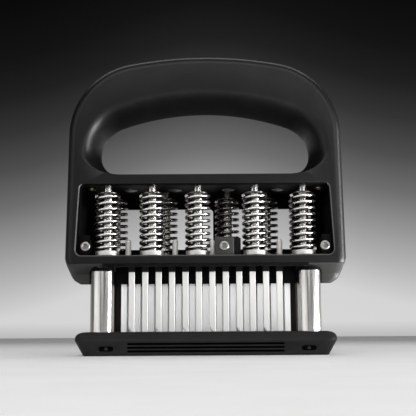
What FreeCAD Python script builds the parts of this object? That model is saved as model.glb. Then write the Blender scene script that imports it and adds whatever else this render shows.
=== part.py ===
import FreeCAD, Part
import math
import os
import Sketcher

# A blade meat tenderizer: a hand-pressed kitchen tool. A guard plate stands on the
# meat and carries four tube posts, two guide fins and the spring carrier. The handle
# slides down over them, against ten springs, and drives two bars of blades through
# the plate's slots.
# Frame: X across the handle, Y front (-) to back (+), Z up. The origin is at the
# middle of the guard plate's underside. Millimetres.

SIZES = [
    ("travel", 18.0, "stroke of the handle"),
    ("running_gap", 0.05, "radial clearance of a post in its bush"),
    ("free_gap", 0.35, "clearance of pieces that pass each other freely"),
    # guard plate
    ("plate_width", 146.8, "at the waist, its widest level"),
    ("plate_depth", 45.0, "at the waist"),
    ("plate_height", 13.2, ""),
    ("plate_waist", 8.4, "level where the face ends and the bevel starts"),
    ("plate_corner", 7.0, "corner radius at the waist"),
    ("plate_shoulder", 11.8, "level between them, where the ends round over"),
    ("foot_inset_side", 4.6, "how far the underside is inside the waist, each end"),
    ("foot_inset_face", 1.2, "the same, front and back"),
    ("shoulder_inset_side", 1.3, "how far the shoulder is inside the waist, each end"),
    ("rim_inset_side", 6.4, "how far the top edge is inside the waist, each end"),
    ("rim_inset_face", 3.6, "the same, front and back"),
    ("socket_floor", 5.2, "level of the post feet inside the plate"),
    ("groove_height", 0.9, "grip grooves in the front face"),
    ("groove_pitch", 2.1, ""),
    ("groove_lowest", 1.6, "level of the lowest groove's bottom edge"),
    ("groove_length", 87.0, ""),
    ("groove_depth", 0.8, ""),
    ("recess_left", 55.2, "front recesses from the middle, in X; each is over a post screw"),
    ("recess_right", 57.0, ""),
    ("recess_length", 8.2, ""),
    ("recess_height", 2.8, ""),
    ("recess_corner", 1.2, "radius"),
    ("recess_level", 3.9, ""),
    ("recess_depth", 1.4, ""),
    # posts
    ("post_radius", 6.85, ""),
    ("post_bore", 6.25, "radius"),
    ("post_top", 54.5, ""),
    ("front_post_offset", 12.0, "front post axes from the middle plane, in Y"),
    ("rear_post_offset", 11.6, "rear post axes from the middle plane, in Y"),
    ("front_post_span", 58.6, "front post axes from the middle, in X"),
    ("rear_post_span", 56.8, "rear post axes from the middle, in X"),
    # guide fins
    ("fin_inner", 48.6, "inner face from the middle, in X"),
    ("fin_thickness", 3.0, ""),
    ("fin_depth", 12.0, ""),
    ("fin_seat", 8.2, "level of the fin's foot in the plate"),
    ("fin_top", 54.0, ""),
    # spring carrier, seats and pins
    ("carrier_width", 128.0, ""),
    ("carrier_front", 18.65, "front edge from the middle plane"),
    ("carrier_back", 18.1, "back edge from the middle plane"),
    ("carrier_bottom", 52.0, ""),
    ("carrier_top", 56.0, ""),
    ("front_row", -12.5, "Y of the front spring axes"),
    ("rear_row", 11.2, "Y of the rear spring axes"),
    ("seat_radius", 6.4, ""),
    ("seat_top", 58.9, ""),
    ("seat_spigot", 4.2, "radius of the seat's spigot in the carrier"),
    ("seat_spigot_foot", 54.8, "level of the spigot's end"),
    ("pin_radius", 3.0, ""),
    ("pin_neck", 2.4, "radius at the top of the conical neck"),
    ("pin_foot", 52.0, ""),
    ("flange_radius", 6.0, "spring's upper seat, in one piece with the pin"),
    ("flange_thickness", 0.9, ""),
    ("flange_level", 91.6, ""),
    ("spring_radius", 6.22, "to the middle of the wire"),
    ("wire", 1.45, "spring wire diameter"),
    ("spring_turns", 9.5, ""),
    # housing
    ("housing_depth", 42.0, ""),
    ("housing_bottom", 51.3, ""),
    ("housing_top", 172.15, ""),
    ("shoulder_width", 156.8, "over the handle's shoulders"),
    ("shoulder_radius", 43.0, ""),
    ("crown_radius", 230.0, ""),
    ("side_slope", 0.0165, "sides open out downwards: sideways run for each unit of fall"),
    ("edge_round", 5.0, "outer edges"),
    ("heel_width", 0.9, "cut off the housing's lower corners, each side"),
    ("heel_height", 3.2, ""),
    ("sill", 55.9, "lower edge of the front window"),
    ("sill_thickness", 2.0, ""),
    ("ceiling", 96.2, "top of the spring space"),
    ("room_width", 144.4, "inside, between the side walls, at the sill"),
    ("room_lean", 1.7, "how far each side wall leans in up to the ceiling"),
    ("room_corner", 1.6, ""),
    ("rear_wall", 2.3, "thickness"),
    ("rear_window_bottom", 62.7, ""),
    ("rear_window_top", 87.5, ""),
    ("rear_window_width", 129.0, ""),
    ("rear_window_corner", 2.0, "radius"),
    ("rib_left", 4.7, "rib between the two rear windows, in X"),
    ("rib_right", 10.2, ""),
    ("grip_floor", 102.0, "top of the crossbar"),
    ("grip_crown", 143.2, "underside of the grip at the middle"),
    ("grip_width", 123.6, "widest part of the finger opening"),
    ("grip_end_level", 116.5, "level of that widest part"),
    ("grip_end_radius", 19.5, "above that level"),
    ("grip_corner", 18.0, "half width of the elliptic corners below it"),
    ("grip_corner_growth", 0.6, "growth of that half width with the funnel's"),
    ("funnel", 10.0, "how much wider the opening is at the front and back faces"),
    # top rail
    ("rail_width", 140.6, ""),
    ("rail_depth", 32.0, ""),
    ("rail_thickness", 2.5, ""),
    ("rail_gap", 0.1, "around the rail in the housing"),
    ("rail_hole", 1.65, "radius"),
    ("rail_screw_span", 66.1, "rail screw axes from the middle, in X"),
    ("rail_screw_offset", 8.0, "the same, from the middle plane towards the front"),
    ("spigot_radius", 1.6, "end of each spring pin in the rail"),
    # lower body
    ("skirt_bottom", 40.1, ""),
    ("skirt_knee", 42.4, "level where the ends turn in to the foot"),
    ("skirt_fold", 45.9, "level where the faces fold out to the brim"),
    ("skirt_top_width", 157.6, ""),
    ("skirt_fold_width", 153.4, ""),
    ("skirt_knee_width", 148.4, ""),
    ("skirt_foot_width", 142.8, ""),
    ("skirt_foot_depth", 24.0, ""),
    ("skirt_fold_depth", 25.0, ""),
    ("deck", 52.0, "top of the lower body, inside the housing"),
    ("post_hole", 7.45, "radius"),
    ("bush_bottom", 49.6, ""),
    ("bush_top", 51.3, ""),
    ("bar_bottom", 49.7, ""),
    ("bar_width", 97.4, ""),
    ("bar_front", 16.2, "outer face of a blade bar from the middle plane"),
    ("bar_back", 8.6, "inner face of a blade bar from the middle plane"),
    ("bar_top", 52.0, ""),
    ("bar_gap", 0.2, "around a blade bar in its pocket"),
    ("tooth_width", 3.8, "bar teeth that hold the roots of the outer blades"),
    ("tooth_back", 13.7, "back of those teeth from the middle plane"),
    ("tooth_bottom", 46.7, ""),
    ("lug_inset", 0.4, "front bar's lug inside the middle pad, each side"),
    ("lug_depth", 1.8, ""),
    ("lug_top", 65.8, ""),
    ("lug_gap", 0.6, "between the lug and the spring carrier"),
    ("hollow_inset", 0.3, "underside hollows inside the blade bars, each end"),
    ("hollow_edge", 7.6, "edge of the middle hollow from the middle plane"),
    ("hollow_roof", 45.8, "level"),
    ("root_gap", 0.5, "around the inner blades where they pass the lower body"),
    ("plug_gap", 0.2, "between the lower body and the housing's rear wall"),
    ("slot_gap", 0.3, "around the teeth in the lower body's slots"),
    ("tab_inner", 65.75, "side tabs, in X"),
    ("tab_outer", 71.4, ""),
    ("tab_top", 67.5, ""),
    ("tab_back", 15.3, ""),
    ("tab_screw", 68.6, "side screw axes, in X"),
    ("tab_front", 18.8, ""),
    ("screw_level", 61.6, ""),
    ("pad_left", 5.2, "middle pad, in X"),
    ("pad_right", 20.5, ""),
    ("pad_gap", 0.8, "between that pad and the spring carrier"),
    ("pad_top", 66.3, ""),
    ("pad_back", 16.6, ""),
    ("pad_screw", 10.65, ""),
    # blades
    ("blade_width", 3.36, ""),
    ("blade_thickness", 0.9, ""),
    ("outer_pitch", 7.6, ""),
    ("inner_pitch", 7.75, ""),
    ("outer_row", 15.0, "outer blade row from the middle plane"),
    ("inner_row", 10.0, "inner blade row from the middle plane"),
    ("blade_top", 51.0, "blade root, inside its bar"),
    ("bite", 7.8, "how far the blades pass the underside at full stroke"),
    ("long_bevel", 4.9, "height of the slanting tip on every second blade"),
    ("short_bevel", 2.6, "and on the ones between"),
    ("guard_slot_width", 4.4, "slots in the guard plate"),
    ("guard_slot_depth", 2.0, ""),
    # small steel pieces
    ("stud_radius", 1.7, "guide studs"),
    ("stud_foot", 46.2, ""),
    ("stud_top", 67.0, ""),
    ("stud_tip", 0.7, "height of the stepped tip"),
    ("screw_shank", 1.5, "radius"),
    ("screw_head", 2.8, "radius"),
    ("screw_head_height", 1.2, ""),
    ("side_screw_length", 10.0, ""),
    ("pad_screw_length", 3.6, ""),
    ("boss_height", 8.0, "screw bosses on the housing's rear wall"),
    ("boss_depth", 9.0, ""),
    ("boss_hole", 8.0, "depth"),
    ("rail_screw_bite", 2.0, "how far a rail screw enters the housing"),
    ("post_screw_radius", 0.8, ""),
    ("post_screw_head", 1.25, "radius"),
    ("post_screw_head_height", 0.9, ""),
    ("rivet_radius", 3.2, ""),
    ("rivet_height", 0.8, ""),
]

OUTER_BLADES = 12
INNER_BLADES = 13
FRONT_SPRINGS = (-56.2, -30.6, -4.4, 28.4, 56.2)     # X of the spring axes
REAR_SPRINGS = (-53.9, -24.0, 13.0, 36.4, 57.6)
STUDS = (-45.3, -17.8, 3.5, 43.4)                    # X of the guide studs
RIVETS = (-44.0, -17.7, 13.6, 42.9)                  # X of the rail rivets
POST_SIDES = 16                                      # flat sides of a tube post
SMALL_SIDES = 8                                      # and of every smaller round piece
SPRING_SIDES = 8                                     # flat stretches in one turn of a spring
CLOSED_TURNS = 0.9                                   # turns lying flat at the ends of a spring
CORNER_FLATS = 3                                     # flats in place of a quarter circle
OVER = 1.0                                           # how far a cutting tool passes a face

os.makedirs("parts", exist_ok=True)
doc = FreeCAD.newDocument("blade_meat_tenderizer")
sheet = doc.addObject("Spreadsheet::Sheet", "Sizes")
for row, (alias, value, meaning) in enumerate(SIZES, start=1):
    sheet.set(f"A{row}", alias)
    sheet.set(f"B{row}", str(value))
    sheet.set(f"C{row}", meaning)
    sheet.setAlias(f"B{row}", alias)
doc.recompute()


class Size:
    """A length that carries both its value and the sheet expression behind it."""

    def __init__(self, value, text):
        self.value = float(value)
        self.text = text

    def __add__(self, other):
        other = as_size(other)
        return Size(self.value + other.value, f"({self.text} + {other.text})")

    def __sub__(self, other):
        other = as_size(other)
        return Size(self.value - other.value, f"({self.text} - {other.text})")

    def __mul__(self, other):
        other = as_size(other)
        return Size(self.value * other.value, f"({self.text} * {other.text})")

    def __truediv__(self, other):
        other = as_size(other)
        return Size(self.value / other.value, f"({self.text} / {other.text})")

    def __neg__(self):
        return Size(-self.value, f"(0 - {self.text})")

    def __radd__(self, other):
        return as_size(other) + self

    def __rsub__(self, other):
        return as_size(other) - self

    def __rmul__(self, other):
        return as_size(other) * self

    def root(self):
        return Size(math.sqrt(self.value), f"sqrt({self.text})")


def as_size(number):
    if isinstance(number, Size):
        return number
    return Size(number, repr(float(number)))


def cell(alias):
    return Size(sheet.get(alias), "Sizes." + alias)


ZERO = as_size(0)
S = {alias: cell(alias) for alias, value, meaning in SIZES}
NODES = {}


def bind(obj, **sizes):
    for name, size in sizes.items():
        size = as_size(size)
        setattr(obj, name, size.value)
        obj.setExpression(name, size.text)


def put(obj, x=0, y=0, z=0):
    """Place an object, with each coordinate bound to the sheet."""
    place = [as_size(x), as_size(y), as_size(z)]
    turn = obj.Placement.Rotation
    obj.Placement = FreeCAD.Placement(FreeCAD.Vector(*[p.value for p in place]), turn)
    for axis, size in zip("xyz", place):
        obj.setExpression(f"Placement.Base.{axis}", size.text)
    return obj


def node(name, obj):
    obj.Label = name
    NODES[name] = obj
    return obj


# ---- Part primitives ---------------------------------------------------------

def block(name, x, y, z):
    """A box given by its lowest and highest X, Y and Z."""
    solid = doc.addObject("Part::Box", name)
    bind(solid, Length=as_size(x[1]) - x[0], Width=as_size(y[1]) - y[0], Height=as_size(z[1]) - z[0])
    return put(solid, x[0], y[0], z[0])


TURN = {
    "+Z": FreeCAD.Rotation(),
    "-Y": FreeCAD.Rotation(FreeCAD.Vector(1, 0, 0), 90),
    "+Y": FreeCAD.Rotation(FreeCAD.Vector(1, 0, 0), -90),
}


def rod(name, sides, radius, length, x, y, z, along="+Z"):
    """A rod with flat sides."""
    solid = doc.addObject("Part::Prism", name)
    solid.Polygon = sides
    bind(solid, Circumradius=radius, Height=length)
    solid.Placement.Rotation = TURN[along]
    return put(solid, x, y, z)


def cone(name, sides, low, high, x, y):
    """An upright cone with flat sides; each end is given as (radius, level)."""
    ends = []
    for end, (radius, level) in (("low", low), ("high", high)):
        polygon = doc.addObject("Part::RegularPolygon", f"{name}_{end}")
        polygon.Polygon = sides
        bind(polygon, Circumradius=radius)
        ends.append(put(polygon, x, y, level))
    solid = doc.addObject("Part::Loft", name)
    solid.Sections = ends
    solid.Solid = True
    solid.Ruled = True
    return solid


def fuse(name, pieces):
    solid = doc.addObject("Part::MultiFuse", name)
    solid.Shapes = pieces
    return solid


def cut(name, base, tools):
    tool = tools[0] if len(tools) == 1 else fuse(name + "_tools", tools)
    solid = doc.addObject("Part::Cut", name)
    solid.Base = base
    solid.Tool = tool
    return solid


def group(name, pieces):
    solids = doc.addObject("Part::Compound", name)
    solids.Links = pieces
    return solids


# ---- PartDesign helpers ------------------------------------------------------

def new_body(name):
    body = doc.addObject("PartDesign::Body", name)
    if hasattr(body, "AllowCompound"):
        body.AllowCompound = True
    return body


def plane(body, role):
    return [item for item in body.Origin.OriginFeatures if item.Role == role][0]


def new_sketch(body, name, role, level):
    """A sketch parallel to an origin plane. On XZ_Plane its normal is -Y, so level is -Y."""
    sketch = body.newObject("Sketcher::SketchObject", name)
    sketch.AttachmentSupport = (plane(body, role), [""])
    sketch.MapMode = "FlatFace"
    level = as_size(level)
    sketch.AttachmentOffset = FreeCAD.Placement(FreeCAD.Vector(0, 0, level.value), FreeCAD.Rotation())
    sketch.setExpression("AttachmentOffset.Base.z", level.text)
    return sketch


def pin_point(sketch, piece, end, x, y):
    """Fix one point of a sketch piece; a coordinate that is None stays free."""
    for kind, size in (("DistanceX", x), ("DistanceY", y)):
        if size is None:
            continue
        size = as_size(size)
        index = sketch.addConstraint(Sketcher.Constraint(kind, -1, 1, piece, end, size.value))
        sketch.setExpression(f"Constraints[{index}]", size.text)


def outline(sketch, corners):
    """A closed outline, counter-clockwise. Each corner is (x, y), reached by a line, or
    (x, y, centre x, centre y), reached by an arc about that centre."""
    corners = [tuple(as_size(number) for number in corner) for corner in corners]
    pieces = []
    for index, corner in enumerate(corners):
        start = corners[index - 1]
        first = FreeCAD.Vector(start[0].value, start[1].value, 0)
        last = FreeCAD.Vector(corner[0].value, corner[1].value, 0)
        if len(corner) == 2:
            pieces.append(sketch.addGeometry(Part.LineSegment(first, last), False))
            continue
        centre = FreeCAD.Vector(corner[2].value, corner[3].value, 0)
        angles = [math.atan2((p - centre).y, (p - centre).x) for p in (first, last)]
        if angles[1] <= angles[0]:
            angles[1] += 2 * math.pi
        circle = Part.Circle(centre, FreeCAD.Vector(0, 0, 1), (first - centre).Length)
        pieces.append(sketch.addGeometry(Part.ArcOfCircle(circle, *angles), False))
    for index, corner in enumerate(corners):
        sketch.addConstraint(Sketcher.Constraint("Coincident", pieces[index - 1], 2, pieces[index], 1))
        pin_point(sketch, pieces[index], 2, corner[0], corner[1])
        if len(corner) == 4:
            chord = [abs(corner[i].value - corners[index - 1][i].value) for i in (0, 1)]
            if chord[1] > chord[0]:
                pin_point(sketch, pieces[index], 3, corner[2], None)
            else:
                pin_point(sketch, pieces[index], 3, None, corner[3])


def rectangle(sketch, x, y):
    outline(sketch, [(x[1], y[0]), (x[1], y[1]), (x[0], y[1]), (x[0], y[0])])


def flat_corner_rectangle(sketch, x, y, radius, lean=0):
    """A rectangle whose round corners are a few flats each; its sides may lean in upwards."""
    middle = [(as_size(low) + high) / 2 for low, high in (x, y)]
    half = [(as_size(high) - low) / 2 - radius for low, high in (x, y)]
    corners = []
    for quarter, (side, end) in enumerate(((1, 1), (-1, 1), (-1, -1), (1, -1))):
        reach = half[0] - lean if end > 0 else half[0]
        for step in range(CORNER_FLATS + 1):
            angle = math.pi / 2 * (quarter + step / CORNER_FLATS)
            corners.append((middle[0] + reach * side + radius * math.cos(angle),
                            middle[1] + half[1] * end + radius * math.sin(angle)))
    outline(sketch, corners)


def ring(sketch, sides, x, y, radius):
    """The outline of a rod with flat sides."""
    radius = as_size(radius)
    angles = [2 * math.pi * side / sides for side in range(sides)]
    outline(sketch, [(radius * math.cos(angle) + x, radius * math.sin(angle) + y) for angle in angles])


def pad(body, name, sketch, length, midplane=False, reverse=False):
    feature = body.newObject("PartDesign::Pad", name)
    feature.Profile = sketch
    bind(feature, Length=length)
    feature.Midplane = midplane
    feature.Reversed = reverse
    return feature


def pocket(body, name, sketch, depth, along_normal=False):
    """Cut to a depth, against the sketch's normal or along it."""
    feature = body.newObject("PartDesign::Pocket", name)
    feature.Profile = sketch
    bind(feature, Length=depth)
    feature.Reversed = along_normal
    return feature


def loft(body, name, sketches, kind="PartDesign::AdditiveLoft"):
    feature = body.newObject(kind, name)
    feature.Profile = sketches[0]
    feature.Sections = sketches[1:]
    feature.Ruled = True
    return feature


def row_of(body, name, feature, pitch, count):
    """Repeat a feature along X."""
    pattern = body.newObject("PartDesign::LinearPattern", name)
    pattern.Originals = [feature]
    pattern.Direction = (feature.Profile[0], ["H_Axis"])
    pattern.Occurrences = count
    bind(pattern, Length=as_size(pitch) * (count - 1))
    body.Tip = pattern
    return pattern


# ---- places shared by several pieces -----------------------------------------

def post_places():
    for end, toward in (("front", -1), ("rear", 1)):
        for side, sign in (("left", -1), ("right", 1)):
            yield end, side, S[end + "_post_span"] * sign, S[end + "_post_offset"] * toward


def blade_rows():
    """Name, distance from the middle plane, pitch, first X and count of each kind of row."""
    for name, count in (("outer", OUTER_BLADES), ("inner", INNER_BLADES)):
        pitch = S[name + "_pitch"]
        yield name, S[name + "_row"], pitch, pitch * (-(count - 1) / 2), count


def recess_places(side):
    """X of the two recesses in the plate's front or rear face."""
    if side == "front":
        return -S["recess_left"], S["recess_right"]
    return -S["rear_post_span"], S["rear_post_span"]


def spring_places():
    for end, row, places in (("front", S["front_row"], FRONT_SPRINGS), ("rear", S["rear_row"], REAR_SPRINGS)):
        for number, x in enumerate(places, start=1):
            yield f"{end}_{number}", x, row


def post_rings(sketch, radius):
    for end, side, x, y in post_places():
        ring(sketch, POST_SIDES, x, y, radius)


def fin_block(name, side, levels):
    half = S["fin_depth"] / 2
    inner, outer = S["fin_inner"], S["fin_inner"] + S["fin_thickness"]
    x = (inner, outer) if side > 0 else (-outer, -inner)
    return block(name, x, (-half, half), levels)


def fin_rectangles(sketch, gap):
    inner, outer = S["fin_inner"] - gap, S["fin_inner"] + S["fin_thickness"] + gap
    half = S["fin_depth"] / 2 + gap
    rectangle(sketch, (inner, outer), (-half, half))
    rectangle(sketch, (-outer, -inner), (-half, half))


# ---- guard: the side that stands on the meat --------------------------------

def make_guard_plate():
    body = new_body("guard_plate")
    half_width, half_depth = S["plate_width"] / 2, S["plate_depth"] / 2
    bevel = (S["plate_shoulder"] - S["plate_waist"]) / (S["plate_height"] - S["plate_waist"])
    shoulder_inset_face = S["rim_inset_face"] * bevel
    levels = [
        ("foot", ZERO, S["foot_inset_side"], S["foot_inset_face"]),
        ("waist", S["plate_waist"], ZERO, ZERO),
        ("shoulder", S["plate_shoulder"], S["shoulder_inset_side"], shoulder_inset_face),
        ("rim", S["plate_height"], S["rim_inset_side"], S["rim_inset_face"]),
    ]
    sections = []
    for name, level, side, face in levels:
        section = new_sketch(body, "plate_" + name, "XY_Plane", level)
        x, y = half_width - side, half_depth - face
        flat_corner_rectangle(section, (-x, x), (-y, y), S["plate_corner"] - face)
        sections.append(section)
    loft(body, "plate_block", sections)

    top = S["plate_height"]
    sockets = new_sketch(body, "post_sockets", "XY_Plane", top)
    post_rings(sockets, S["post_radius"])
    pocket(body, "post_socket_cut", sockets, top - S["socket_floor"])

    fins = new_sketch(body, "fin_sockets", "XY_Plane", top)
    fin_rectangles(fins, 0)
    pocket(body, "fin_socket_cut", fins, top - S["fin_seat"])

    for name, row, pitch, first, count in blade_rows():
        slot = new_sketch(body, name + "_slot", "XY_Plane", top)
        half_x, half_y = S["guard_slot_width"] / 2, S["guard_slot_depth"] / 2
        for side in (-1, 1):
            rectangle(slot, (first - half_x, first + half_x), (row * side - half_y, row * side + half_y))
        row_of(body, name + "_slots", pocket(body, name + "_slot_cut", slot, top), pitch, count)

    face = half_depth + OVER
    grooves = new_sketch(body, "grooves", "XZ_Plane", face)
    half = S["groove_length"] / 2
    for step in range(3):
        low = S["groove_lowest"] + S["groove_pitch"] * step
        rectangle(grooves, (-half, half), (low, low + S["groove_height"]))
    lean = S["foot_inset_face"] / 2                   # of the sloping face, at mid height
    pocket(body, "groove_cut", grooves, S["groove_depth"] + OVER + lean)

    for side, level in (("front", face), ("rear", -face)):
        recess = new_sketch(body, side + "_recesses", "XZ_Plane", level)
        for x in recess_places(side):
            z = S["recess_level"]
            half_x, half_z = S["recess_length"] / 2, S["recess_height"] / 2
            levels = (z - half_z, z + half_z)
            flat_corner_rectangle(recess, (x - half_x, x + half_x), levels, S["recess_corner"])
        depth = S["recess_depth"] + OVER + lean
        pocket(body, side + "_recess_cut", recess, depth, along_normal=(side == "rear"))
        holes = new_sketch(body, side + "_post_screw_holes", "XZ_Plane", level)
        for x in recess_places(side):
            ring(holes, SMALL_SIDES, x, S["recess_level"], S["post_screw_radius"])
        hole_depth = face - S[side + "_post_offset"]
        pocket(body, side + "_post_screw_cut", holes, hole_depth, along_normal=(side == "rear"))
    return node("guard_plate", body)


def make_posts():
    for end, side, x, y in post_places():
        name = f"{end}_post_{side}"
        length = S["post_top"] - S["socket_floor"]
        outer = rod(name + "_tube", POST_SIDES, S["post_radius"], length, x, y, S["socket_floor"])
        bore = rod(name + "_bore", POST_SIDES, S["post_bore"], length, x, y, S["socket_floor"])
        node(name, cut(name, outer, [bore]))


def make_fins():
    for name, side in (("guide_fin_left", -1), ("guide_fin_right", 1)):
        node(name, fin_block(name, side, (S["fin_seat"], S["fin_top"])))


def make_carrier():
    low, high = S["carrier_bottom"], S["carrier_top"]
    half, front = S["carrier_width"] / 2, -S["carrier_front"]
    slab = block("carrier_slab", (-half, half), (front, S["carrier_back"]), (low, high))
    notch_x = (S["pad_left"] - S["pad_gap"], S["pad_right"] + S["pad_gap"])
    notch_back = S["lug_depth"] + S["lug_gap"] - S["bar_front"]
    tools = [block("carrier_notch", notch_x, (front - OVER, notch_back), (low - OVER, high + OVER))]
    thickness = high - low
    for place, x, y in spring_places():
        tools.append(rod("seat_hole_" + place, SMALL_SIDES, S["seat_spigot"], thickness, x, y, low))
    for number, x in enumerate(STUDS):
        radius = S["stud_radius"] + S["free_gap"]
        tools.append(rod(f"stud_way_{number}", SMALL_SIDES, radius, thickness, x, 0, low))
    for end, side, x, y in post_places():
        height = S["post_top"] - low
        tools.append(rod(f"{end}_{side}_socket", POST_SIDES, S["post_radius"], height, x, y, low))
    for side in (-1, 1):
        tools.append(fin_block(f"fin_socket_{side + 1}", side, (low, S["fin_top"])))
    return node("spring_carrier", cut("spring_carrier", slab, tools))


def make_seats():
    """Flanged seats: one under each spring, with a spigot in the carrier."""
    foot, deck, top = S["seat_spigot_foot"], S["carrier_top"], S["seat_top"]
    bore_radius = S["pin_radius"] + S["free_gap"]
    for place, x, y in spring_places():
        name = "spring_seat_" + place
        flange = rod(name + "_flange", SMALL_SIDES, S["seat_radius"], top - deck, x, y, deck)
        spigot = rod(name + "_spigot", SMALL_SIDES, S["seat_spigot"], deck - foot, x, y, foot)
        bore = rod(name + "_bore", SMALL_SIDES, bore_radius, top - foot, x, y, foot)
        node(name, cut(name, fuse(name + "_body", [flange, spigot]), [bore]))


def make_post_screws():
    """Short screws in the plate's recesses, each tight against the foot of a post."""
    screws = []
    recess_floor = S["plate_depth"] / 2 - S["foot_inset_face"] / 2 - S["recess_depth"]
    z = S["recess_level"]
    for end, toward, along in (("front", -1, "-Y"), ("rear", 1, "+Y")):
        for number, x in enumerate(recess_places(end)):
            name = f"post_screw_{end}_{number}"
            tip = S[end + "_post_offset"] + S["post_radius"]
            length, radius = recess_floor - tip, S["post_screw_radius"]
            shank = rod(name + "_shank", SMALL_SIDES, radius, length, x, tip * toward, z, along)
            head = rod(name + "_head", SMALL_SIDES, S["post_screw_head"], S["post_screw_head_height"],
                       x, recess_floor * toward, z, along)
            screws.append(fuse(name, [shank, head]))
    return node("post_screws", group("post_screws", screws))


# ---- handle: the side that the hand pushes -----------------------------------

def handle_outline(sketch, inset):
    """Flat bottom, sides that open downwards, round shoulders and a long crown arc."""
    slope, bottom = S["side_slope"], S["housing_bottom"]
    stretch = (1 + slope * slope).root()
    shoulder_x = S["shoulder_width"] / 2 - S["shoulder_radius"]
    crown_z = S["housing_top"] - S["crown_radius"]
    reach = S["crown_radius"] - S["shoulder_radius"]
    shoulder_z = crown_z + (reach * reach - shoulder_x * shoulder_x).root()
    shoulder, crown = S["shoulder_radius"] - inset, S["crown_radius"] - inset
    side_x = shoulder_x + shoulder / stretch
    side_z = shoulder_z + shoulder * slope / stretch
    bottom_x = side_x + (side_z - bottom) * slope
    join_x = shoulder_x * crown / reach
    join_z = crown_z + (shoulder_z - crown_z) * crown / reach
    heel_x = bottom_x - slope * S["heel_height"]
    heel_z = bottom + S["heel_height"]
    foot_x = bottom_x - S["heel_width"]
    outline(sketch, [
        (foot_x, bottom), (heel_x, heel_z), (side_x, side_z), (join_x, join_z, shoulder_x, shoulder_z),
        (-join_x, join_z, ZERO, crown_z), (-side_x, side_z, -shoulder_x, shoulder_z),
        (-heel_x, heel_z), (-foot_x, bottom),
    ])


def grip_corner(side_x, grow):
    """The right-hand corner of the finger opening, from its floor up to its widest level:
    a few flats round a quarter ellipse, at the same slopes in every section."""
    level, floor = S["grip_end_level"], S["grip_floor"]
    across, up = S["grip_corner"] + grow * S["grip_corner_growth"], level - floor
    middle_x = side_x - across
    flats = [(0.0, -1.0, -floor)]
    for step in range(1, CORNER_FLATS + 1):
        angle = math.pi / 2 * (step / (CORNER_FLATS + 1) - 1)
        right, rise = math.cos(angle), math.sin(angle)
        reach = (across * across * right ** 2 + up * up * rise ** 2).root()
        flats.append((right, rise, middle_x * right + level * rise + reach))
    flats.append((1.0, 0.0, side_x))
    corners = []
    for first, second in zip(flats[:-1], flats[1:]):
        spread = first[0] * second[1] - first[1] * second[0]
        corners.append(((first[2] * second[1] - second[2] * first[1]) / spread,
                        (second[2] * first[0] - first[2] * second[0]) / spread))
    return corners + [(side_x, level)]


def grip_outline(sketch, grow):
    """The finger opening: a flat floor, elliptic corners, two end arcs and a crown arc."""
    radius, level = S["grip_end_radius"], S["grip_end_level"]
    end_x = S["grip_width"] / 2 - radius
    rise = S["grip_crown"] - level
    crown = (end_x * end_x + rise * rise - radius * radius) / ((rise - radius) * 2)
    crown_z = S["grip_crown"] - crown
    reach = crown - radius
    join_x = end_x * (crown + grow) / reach
    join_z = crown_z + (level - crown_z) * (crown + grow) / reach
    corner = grip_corner(end_x + radius + grow, grow)
    mirrored = [(-x, z) for x, z in reversed(corner[:-1])]
    outline(sketch, corner + [
        (join_x, join_z, end_x, level), (-join_x, join_z, ZERO, crown_z),
        (-corner[-1][0], level, -end_x, level),
    ] + mirrored)


def loft_with_round_edges(body, name, kind, draw, radius, run):
    """A loft from the front face to the back one. Over a run inwards from each face the
    outline shifts by up to that radius, as a quarter ellipse would, in a few flats."""
    face = S["housing_depth"] / 2
    angles = [math.pi / 2 * step / CORNER_FLATS for step in range(CORNER_FLATS + 1)]
    steps = [(face - run * (1 - math.sin(a)), radius * (1 - math.cos(a))) for a in angles]
    meets = steps[0][0].value < OVER                  # front and back meet in the middle plane
    places = steps[::-1] + [(-level, shift) for level, shift in steps[1 if meets else 0:]]
    sections = []
    for number, (level, shift) in enumerate(places):
        section = new_sketch(body, f"{name}_section_{number}", "XZ_Plane", level)
        draw(section, shift)
        sections.append(section)
    return loft(body, name, sections, kind)


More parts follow.
